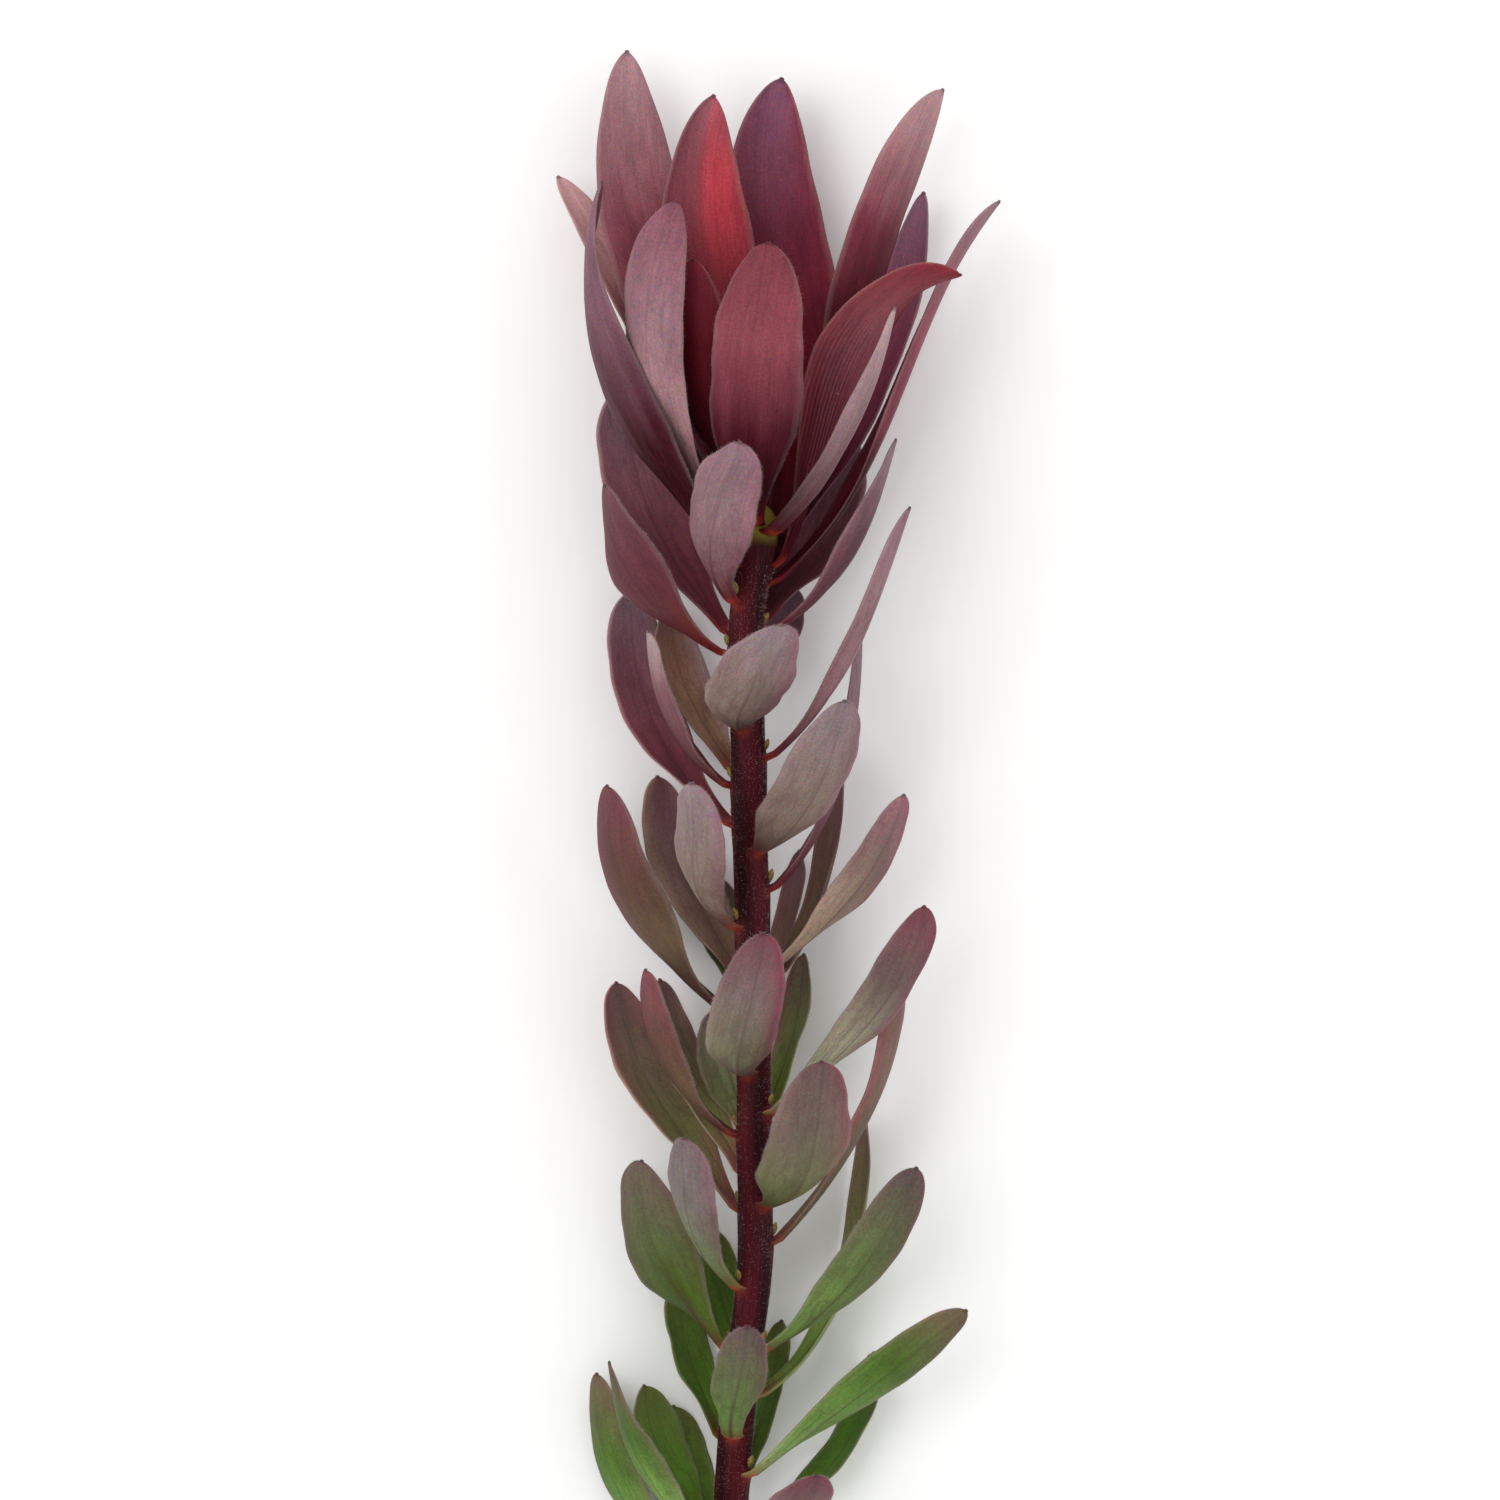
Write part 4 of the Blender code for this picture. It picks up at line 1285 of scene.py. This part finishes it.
                    # Pleat ridges are painted paler and hollows darker, as painted highlight and shade; the
                    # lanes added below are the blade's own.
                    streak = self.PLEAT_PAINTED_LIGHT * pleat_height * pleat
                    for size, number, index in self.LANES:
                        streak += size * math.sin(number * side + starts[index])
                    strength = ease(share / self.VEIN_RISE) * (1.0 - self.VEIN_FADE * share)
                    spread = side * (self.VEIN_SPREAD + self.VEIN_OPENING * share) * lanes_each_side
                    skin.add(
                        spot,
                        self.colour(blade, face == 1, share, streak, side, length, tone),
                        (from_rib, length * share, seed_place + self.FACE_SHIFT * face),
                        (spread, strength * (1.0 - side ** self.VEIN_EDGE),
                         length * share / self.vein_length + seed_place))
        skin.join_rows()
        for start in (0, len(skin.verts) - skin.loop):
            for step in range(across):
                skin.body.faces.new([skin.verts[start + place] for place in (
                    step, step + 1, skin.loop - 2 - step, skin.loop - 1 - step)])
        mesh = skin.mesh(f"{blade.name}_blade")
        mesh.shade_smooth()
        return mesh

    def colour(
        self, blade: Blade, inside: bool, share: float, streak: float, side: float,
        length: float, tone: float,
    ) -> Colour:
        """A blade's colour at one point.

        Args:
            blade: The blade.
            inside: True on the face towards the stem.
            share: Share of its length.
            streak: How far this lane's colours run ahead, as a share of the length; on pleats it also
                carries painted highlight and shade.
            side: Place across it, from -1 to 1.
            length: Its length in millimetres.
            tone: This blade's own lightness, times its painted light or shade.

        Returns:
            The linear colour.
        """
        tint = blade.shade.value
        edge = abs(side)
        flush = min(blade.flush[1 if side > 0.0 else 0] * edge ** self.FLUSH_SHARPNESS, self.FLUSH_MOST)
        # Where the painted glow of light through the flesh is strongest.
        core = math.exp(
            -((side - self.GLOW_SIDE) / self.GLOW_WIDTH) ** 4
            - ((share - self.GLOW_PLACE) / self.GLOW_LENGTH) ** 2)
        dark = blade.stripe * math.exp(-(side / self.STREAK_WIDTH) ** 2)
        from_foot = share * length
        # The foot's red, with painted shade near the stem.
        red_and_shaded_foot = 1.0 - ease(from_foot / self.foot_red_and_shade_length)
        attached = (1.0 - ease(from_foot / self.coral_length)) * math.exp(-(side / self.CORAL_WIDTH) ** 2)
        colour = tint.at(inside, share + streak * (1.0 - share))
        for code, cover in (
            (tint.rim, flush * ease(share / self.FLUSH_RISE)),
            (self.MARGIN, self.MARGIN_MOST * edge ** self.MARGIN_SHARPNESS * ease(share / self.MARGIN_RISE)),
            (self.GLOW, blade.glow * core),
            (self.STREAK, dark * (1.0 - ease((share - self.STREAK_START) / self.STREAK_LENGTH))),
            (self.FOOT_RED, self.FOOT_RED_MOST * red_and_shaded_foot),
            (self.CORAL, attached * (self.CORAL_INSIDE if inside else self.CORAL_OUTSIDE)),
            (self.CALLUS, self.CALLUS_MOST * ease((share - self.CALLUS_START) / (1.0 - self.CALLUS_START))),
        ):
            colour = blend(colour, linear(code), cover)
        return tuple(value * tone for value in colour)


@dataclass
class Foliage:
    """All leaves and bracts, each in the finish of its slot."""

    builder: BladeBuilder

    FINISHES = (
        BladeFinish(Slot.GREEN_LEAF, 0.5, 0.02, "#4a3a30", 0.4, 0.6, "#c8c4a0", 0.4, 0.07, 0.08),
        BladeFinish(Slot.TAUPE_LEAF, 0.52, 0.02, "#5a3c40", 0.4, 0.6, "#3c2428", 0.4, 0.07, 0.1),
        BladeFinish(Slot.PLUM_LEAF, 0.54, 0.01, "#4e2a34", 0.35, 0.5, "#30161c", 0.4, 0.1, 0.08),
        BladeFinish(Slot.ROSE_BRACT, 0.54, 0.0, "#5c2430", 0.25, 0.3, "#c8a0a4", 0.3, 0.12, 0.05),
        BladeFinish(Slot.CRIMSON_BRACT, 0.52, 0.0, "#5c1a22", 0.2, 0.2, "#d08088", 0.3, 0.12, 0.04),
    )

    def build(self) -> None:
        """Builds, dresses and places every blade."""
        finishes = {finish.slot: finish.material() for finish in self.FINISHES}
        for blade in LEAVES + BRACTS:
            mesh = self.builder.build(blade)
            add_piece(f"{blade.name}_blade", mesh, blade.slot, [finishes[blade.slot]], blade.name)
        LOG.info("foliage: %d blades", len(LEAVES + BRACTS))


@dataclass
class StemCore:
    """The woody stem with its leaf ridges, scars, swollen top and slanted cut.

    Sizes are millimetres; the cut's slant and turn are degrees. A scar's size is its width,
    its length along the stem and its height.
    """

    stem: StemLine
    plan: Plan
    sides: int = 40
    step: float = 1.1
    cut_place: float = 7.6
    cut_slant: float = 38.0
    cut_turn: float = 66.0
    ridge_height: float = 0.4
    ridge_length: float = 15.0
    ridge_top: float = 3.5
    ridge_width: float = 1.7
    strand_height: float = 0.09
    scar_start: float = 11.4
    scar_spacing: float = 6.5
    scar_turn: float = 137.5
    scar_size: tuple[float, float, float] = (2.3, 1.1, 0.7)
    bare_length: float = 70.0
    coral_length: float = 1.3
    dome_start: float = 210.0
    dome_length: float = 4.0
    smooth_angle: float = 60.0

    # Strands of the bark: size, number round the stem and twist to each millimetre.
    STRANDS = ((0.6, 9.0, 0.11), (0.4, 23.0, -0.23))
    # Red bands of the bark: number round the stem and twist to each millimetre.
    RED_BANDS, RED_TWIST = 3.0, 0.045
    RIDGE_FADE = 1.2
    PIT_DEPTH, PIT_SHARPNESS = 0.45, 4.0
    # Ridges and scars have faded to nothing this many of their own widths away.
    REACH, SCAR_REACH = 3.0, 2.5
    # How far the bark's pattern moves inwards round the stem, so that it has no seam, in mm.
    SEAM_HIDING = 31.0

    # Colours with how much they cover at most.
    BARK, BARK_RED, DOME = "#22060b", "#4a0c17", "#8a7a2c"
    RIDGE, RIDGE_MOST = "#521c22", 0.55
    CORAL, CORAL_MOST = "#a03c2c", 0.75
    FOOT_BARK, FOOT_BARK_MOST = "#40201e", 0.6
    SCAR, SCAR_MOST = "#7a5648", 0.7

    def scars(self) -> list[tuple[float, float]]:
        """Finds where leaves have been on the bare part of the stem.

        Returns:
            Pairs of a distance along the stem and a turn about it in degrees.
        """
        found = []
        along, turn = self.stem.first + self.scar_start, 0.0
        while along < min(leaf.attach for leaf in LEAVES) - self.scar_spacing:
            found.append((along, turn))
            along += self.scar_spacing
            turn += self.scar_turn
        return found

    def relief(self, along: float, angle: float, scars: list[tuple[float, float]]) -> tuple[float, Colour]:
        """How far the bark stands out at one place, and its colour there.

        Args:
            along: Distance along +Y.
            angle: Turn about the stem, in radians.
            scars: Where leaves have been.

        Returns:
            Height over the plain tube and the linear colour.
        """
        height = self.strand_height * sum(
            size * math.sin(number * angle + twist * along) for size, number, twist in self.STRANDS)
        redness = 0.5 + 0.5 * math.sin(self.RED_BANDS * angle + self.RED_TWIST * along)
        low_share = 1.0 - ease((along - self.stem.first) / self.bare_length)
        layers = [(self.BARK_RED, redness), (self.FOOT_BARK, self.FOOT_BARK_MOST * low_share)]
        for leaf in LEAVES:
            below = leaf.attach - along
            if not -self.ridge_top < below < self.ridge_length:
                continue
            across = self.stem.across(angle, leaf.turn, self.ridge_width)
            if abs(across) > self.REACH:
                continue
            profile = math.exp(-across * across)
            if below >= 0.0:
                fade = (1.0 - below / self.ridge_length) ** self.RIDGE_FADE
            else:
                fade = ease(1.0 + below / self.ridge_top)
            height += self.ridge_height * profile * fade
            near = math.exp(-(below / self.coral_length) ** 2)
            layers.append((self.RIDGE, self.RIDGE_MOST * profile * fade))
            layers.append((self.CORAL, self.CORAL_MOST * profile * near))
        width, size, rise = self.scar_size
        for place, turn in scars:
            over, across = (along - place) / size, self.stem.across(angle, turn, width)
            if abs(over) > self.REACH or abs(across) > self.SCAR_REACH:
                continue
            form = math.exp(-(over * over + across * across))
            pit = math.exp(-self.PIT_SHARPNESS * (over * over + across * across))
            height += rise * (form - self.PIT_DEPTH * pit)
            layers.append((self.SCAR, self.SCAR_MOST * form))
        layers.append((self.DOME, ease((along - self.dome_start) / self.dome_length)))
        colour = linear(self.BARK)
        for code, cover in layers:
            colour = blend(colour, linear(code), cover)
        return height, colour

    def build(self) -> None:
        """Builds and dresses the stem."""
        scars = self.scars()
        first, last = self.stem.first, self.stem.last
        count = int((last - first) / self.step)
        skin = Skin(self.plan, self.sides)
        for row in range(count + 1):
            along = first + (last - first) * row / count
            for index in range(self.sides):
                angle = 2.0 * math.pi * index / self.sides
                height, colour = self.relief(along, angle, scars)
                middle, _, outward = self.stem.around(along, angle)
                spot = middle + outward * (self.stem.radius(along) + height)
                spot.z = max(spot.z, 0.0)
                skin.add(spot, colour, (angle * self.stem.RADIUS, along, self.SEAM_HIDING * math.cos(angle)))
        skin.join_rows()
        skin.body.faces.new(skin.verts[:self.sides])
        skin.body.faces.new(skin.verts[-self.sides:])
        mesh = skin.mesh("stem_bark")
        centre = self.cut(mesh)
        mesh.shade_smooth()
        mesh.set_sharp_from_angle(angle=math.radians(self.smooth_angle))
        finishes = (BarkFinish(), CutWoodFinish(centre, self.stem.RADIUS * MM))
        materials = [finish.material() for finish in finishes]
        add_piece("stem_bark", mesh, Slot.STEM_BARK, materials, "stem")
        LOG.info("stem: %d faces", len(mesh.polygons))

    def cut(self, mesh: bpy.types.Mesh) -> Vector:
        """Cuts the lower end off on a slant and closes it with bare wood.

        Args:
            mesh: The stem's mesh.

        Returns:
            The middle of the cut, in metres.
        """
        slant = math.radians(self.cut_slant)
        middle, direction, across = self.stem.around(
            self.stem.first + self.cut_place, math.radians(self.cut_turn))
        centre = self.plan.metres(middle)
        normal = direction * math.cos(slant) + across * math.sin(slant)
        body = bmesh.new()
        body.from_mesh(mesh)
        everything = body.verts[:] + body.edges[:] + body.faces[:]
        cut = bmesh.ops.bisect_plane(
            body, geom=everything, plane_co=centre, plane_no=normal, clear_inner=True)
        rim = [item for item in cut["geom_cut"] if isinstance(item, bmesh.types.BMEdge)]
        for face in bmesh.ops.edgeloop_fill(body, edges=rim)["faces"]:
            face.material_index = 1
        bmesh.ops.recalc_face_normals(body, faces=body.faces)
        body.to_mesh(mesh)
        body.free()
        return centre


@dataclass
class AxilBuds:
    """A small felted bud in the angle above each leaf, as one piece.

    Sizes are millimetres: how far above its leaf a bud grows and how far off the bark its
    middle is, and half its width, length and depth. taper is how narrow its tip is, and
    growths the range of the buds' own sizes.
    """

    stem: StemLine
    plan: Plan
    above: float = 3.2
    off: float = 0.35
    lean: float = 0.35
    taper: float = 0.45
    taper_power: float = 1.5
    size: tuple[float, float, float] = (0.8, 1.5, 0.7)
    growths: tuple[float, float] = (0.8, 1.2)
    sides: int = 10
    rings: int = 7

    def build(self) -> None:
        """Builds and dresses the buds."""
        body = bmesh.new()
        for leaf in LEAVES:
            growth = random.Random("bud " + leaf.name).uniform(*self.growths)
            middle, direction, outward = self.stem.around(leaf.attach + self.above, math.radians(leaf.turn))
            across = direction.cross(outward)
            lean = (direction + outward * self.lean).normalized()
            centre = middle + outward * (self.stem.radius(leaf.attach) + self.off)
            frame = Matrix((
                across * self.size[0] * growth,
                lean * self.size[1] * growth,
                lean.cross(across) * -self.size[2] * growth,
            )).transposed().to_4x4()
            made = bmesh.ops.create_uvsphere(body, u_segments=self.sides, v_segments=self.rings, radius=1.0)
            for vert in made["verts"]:
                narrow = 1.0 - self.taper * max(vert.co.y, 0.0) ** self.taper_power
                vert.co.x *= narrow
                vert.co.z *= narrow
                vert.co = self.plan.metres(frame @ vert.co + centre)
        mesh = close_body(body, "axil_buds")
        mesh.shade_smooth()
        add_piece("axil_buds", mesh, Slot.STEM_BARK, [BudFinish().material()])
        LOG.info("buds: %d", len(LEAVES))


@dataclass
class Hairs:
    """Tapering hairs gathered into one mesh; thickness is in millimetres at the root."""

    plan: Plan
    thickness: float
    spots: list[Vector] = field(default_factory=list)
    faces: list[tuple[int, int, int]] = field(default_factory=list)

    def add(self, root: Vector, reach: Vector) -> None:
        """Adds a hair with three sides and a closed root.

        Args:
            root: Where it grows, in the plan.
            reach: The way from its root to its tip.
        """
        across = reach.orthogonal().normalized() * (0.5 * self.thickness)
        third = Matrix.Rotation(2.0 * math.pi / 3.0, 3, reach)
        first = len(self.spots)
        for _ in range(3):
            self.spots.append(self.plan.metres(root + across))
            across = third @ across
        tip = root + reach
        tip.z = max(tip.z, self.thickness)
        self.spots.append(self.plan.metres(tip))
        self.faces += [
            (first + a, first + b, first + c) for a, b, c in ((0, 1, 3), (1, 2, 3), (2, 0, 3), (2, 1, 0))]

    def finish(self, name: str, slot: Slot) -> None:
        """Makes and dresses the piece.

        Args:
            name: Its name.
            slot: Its material slot.
        """
        mesh = bpy.data.meshes.new(name)
        mesh.from_pydata([tuple(spot) for spot in self.spots], [], self.faces)
        mesh.update()
        add_piece(name, mesh, slot, [DownFinish().material()])
        LOG.info("%s: %d triangles", name, len(self.faces))


@dataclass
class StemDown:
    """Fine silvery hairs on the leafy part of the stem, thickest on the ridges below leaves.

    Real hairs are 0.03 mm thick; they are drawn 0.05 mm thick, the finest that shows.
    """

    stem: StemLine
    plan: Plan
    count: int = 9000
    ridge_count: int = 11000
    ridge_spread: float = 0.3
    ridge_top: float = 1.5
    ridge_length: float = 13.0
    length: float = 0.7
    thickness: float = 0.05
    start: float = -30.0
    end: float = 206.0
    end_crowding: float = 0.75
    ridge_crowding: float = 1.3
    lean_along: tuple[float, float] = (0.1, 1.3)
    lean_across: tuple[float, float] = (-0.6, 0.6)
    lengths: tuple[float, float] = (0.5, 1.3)

    def places(self, draw: random.Random) -> list[tuple[float, float]]:
        """Where hairs grow.

        Args:
            draw: The source of chance.

        Returns:
            Pairs of a distance along the stem and a turn about it.
        """
        found = []
        for _ in range(self.count):
            along = self.start + (self.end - self.start) * draw.random() ** self.end_crowding
            found.append((along, draw.uniform(0.0, 2.0 * math.pi)))
        for _ in range(self.ridge_count):
            leaf = draw.choice(LEAVES)
            turn = math.radians(leaf.turn) + draw.gauss(0.0, self.ridge_spread)
            below = self.ridge_length * draw.random() ** self.ridge_crowding
            found.append((leaf.attach + self.ridge_top - below, turn))
        return found

    def build(self) -> None:
        """Builds and dresses the hairs as one piece."""
        draw = random.Random("stem down")
        hairs = Hairs(self.plan, self.thickness)
        for along, angle in self.places(draw):
            middle, direction, outward = self.stem.around(along, angle)
            across = direction.cross(outward)
            root = middle + outward * (self.stem.radius(along) - self.thickness)
            lean = direction * draw.uniform(*self.lean_along) + across * draw.uniform(*self.lean_across)
            hairs.add(root, (outward + lean).normalized() * self.length * draw.uniform(*self.lengths))
        hairs.finish("stem_down", Slot.STEM_BARK)


@dataclass
class MarginDown:
    """A fringe of silvery hairs along the margins of the blades, sparser on the bracts.

    Real hairs are 0.02 mm thick; they are drawn 0.045 mm thick, the finest that shows. The
    rows of each margin nearest its foot stay bare.
    """

    plan: Plan
    margins: list[Margin]
    bare_rows: int = 4
    spacing: float = 0.2
    bract_spacing: float = 0.7
    length: float = 0.5
    thickness: float = 0.045
    lean_along: tuple[float, float] = (0.0, 1.2)
    lean_across: tuple[float, float] = (-0.7, 0.7)
    lengths: tuple[float, float] = (0.4, 1.5)
    gaps: tuple[float, float] = (0.5, 1.5)

    def build(self) -> None:
        """Builds and dresses the fringe as one piece."""
        draw = random.Random("margin down")
        hairs = Hairs(self.plan, self.thickness)
        for margin in self.margins:
            spacing = self.bract_spacing if margin.slot in (ROSE, CRIMSON) else self.spacing
            ahead = draw.uniform(0.0, spacing)
            points = margin.points[self.bare_rows:]
            for (start, out, along), (end, _, _) in zip(points, points[1:]):
                gap = (end - start).length
                while ahead < gap:
                    root = start.lerp(end, ahead / gap)
                    lean = along * draw.uniform(*self.lean_along)
                    lean += out.cross(along) * draw.uniform(*self.lean_across)
                    hairs.add(root, (out + lean).normalized() * self.length * draw.uniform(*self.lengths))
                    ahead += spacing * draw.uniform(*self.gaps)
                ahead -= gap
        hairs.finish("margin_down", Slot.TAUPE_LEAF)


@dataclass
class Studio:
    """A pale floor, soft white light and a camera that looks straight down.

    Sizes are millimetres: the side of the square that the photograph shows, its centre in
    the plan, the height at which that square is measured, and the camera's height. The floor's
    reach and the end of what the camera sees are metres.
    """

    plan: Plan
    view_side: float = 330.0
    view_centre: tuple[float, float] = (0.0, 165.0)
    view_height: float = 30.0
    camera_height: float = 2600.0
    sensor: float = 36.0
    floor_reach: float = 4.0
    clip_end: float = 20.0
    sky_colour: str = "#fbfbfb"
    sky_strength: float = 0.84

    # Each lamp's name, place about the plant and side in metres, and power in watts.
    LAMPS = (
        ("key_softbox", (-0.9, 0.4, 1.7), 1.2, 12.5),
        ("fill_softbox", (1.3, -0.4, 1.4), 1.6, 4.0),
        ("rim_softbox", (0.2, 1.6, 0.7), 1.2, 5.0),
    )

    def floor(self) -> None:
        """A matt pale floor that lightens the shadows."""
        mesh = bpy.data.meshes.new("floor")
        corners = ((-1, -1), (1, -1), (1, 1), (-1, 1))
        reach = self.floor_reach
        mesh.from_pydata([(x * reach, y * reach, 0.0) for x, y in corners], [], [(0, 1, 2, 3)])
        floor = new_object("floor", mesh)
        mesh.materials.append(PaperFinish().material())

    def light(self, name: str, place: Vector, aim: Vector, size: float, power: float) -> None:
        """Adds one soft square lamp.

        Args:
            name: Its name.
            place: Where it stands, in metres.
            aim: What it points at, in metres.
            size: Its side, in metres.
            power: Its power in watts.
        """
        lamp = bpy.data.lights.new(name, "AREA")
        lamp.shape, lamp.size, lamp.energy = "SQUARE", size, power
        stand = new_object(name, lamp)
        stand.location = place
        stand.rotation_euler = (aim - place).to_track_quat("-Z", "Y").to_euler()

    def build(self) -> None:
        """Sets the floor, the lamps, the sky and the camera."""
        self.floor()
        scene = bpy.context.scene
        centre = self.plan.metres(Vector((*self.view_centre, self.view_height)))
        for name, place, size, power in self.LAMPS:
            self.light(name, centre + Vector(place), centre, size, power)
        world = bpy.data.worlds.new("studio")
        world.use_nodes = True
        background = world.node_tree.nodes["Background"]
        background.inputs["Color"].default_value = opaque(self.sky_colour)
        background.inputs["Strength"].default_value = self.sky_strength
        scene.world = world
        height = (self.camera_height - self.view_height) * MM
        lens = bpy.data.cameras.new("camera")
        lens.sensor_width = self.sensor
        lens.lens = self.sensor * height / (self.view_side * MM)
        lens.clip_end = self.clip_end
        scene.camera = new_object("camera", lens)
        scene.camera.location = centre + Vector((0.0, 0.0, height))
        scene.view_settings.view_transform = "Standard"
        scene.view_settings.look = "None"
        LOG.info("studio: lens %.0f mm", lens.lens)


def main() -> None:
    """Builds the dressed stem and its studio."""
    logging.basicConfig(level=logging.INFO, format="%(message)s")
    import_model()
    stem = StemLine()
    outline = Outline()
    plan = Plan(stem, outline)
    builder = BladeBuilder(stem, outline, plan)
    Foliage(builder).build()
    StemCore(stem, plan).build()
    AxilBuds(stem, plan).build()
    StemDown(stem, plan).build()
    MarginDown(plan, builder.margins).build()
    Studio(plan).build()


if __name__ == "__main__":
    main()
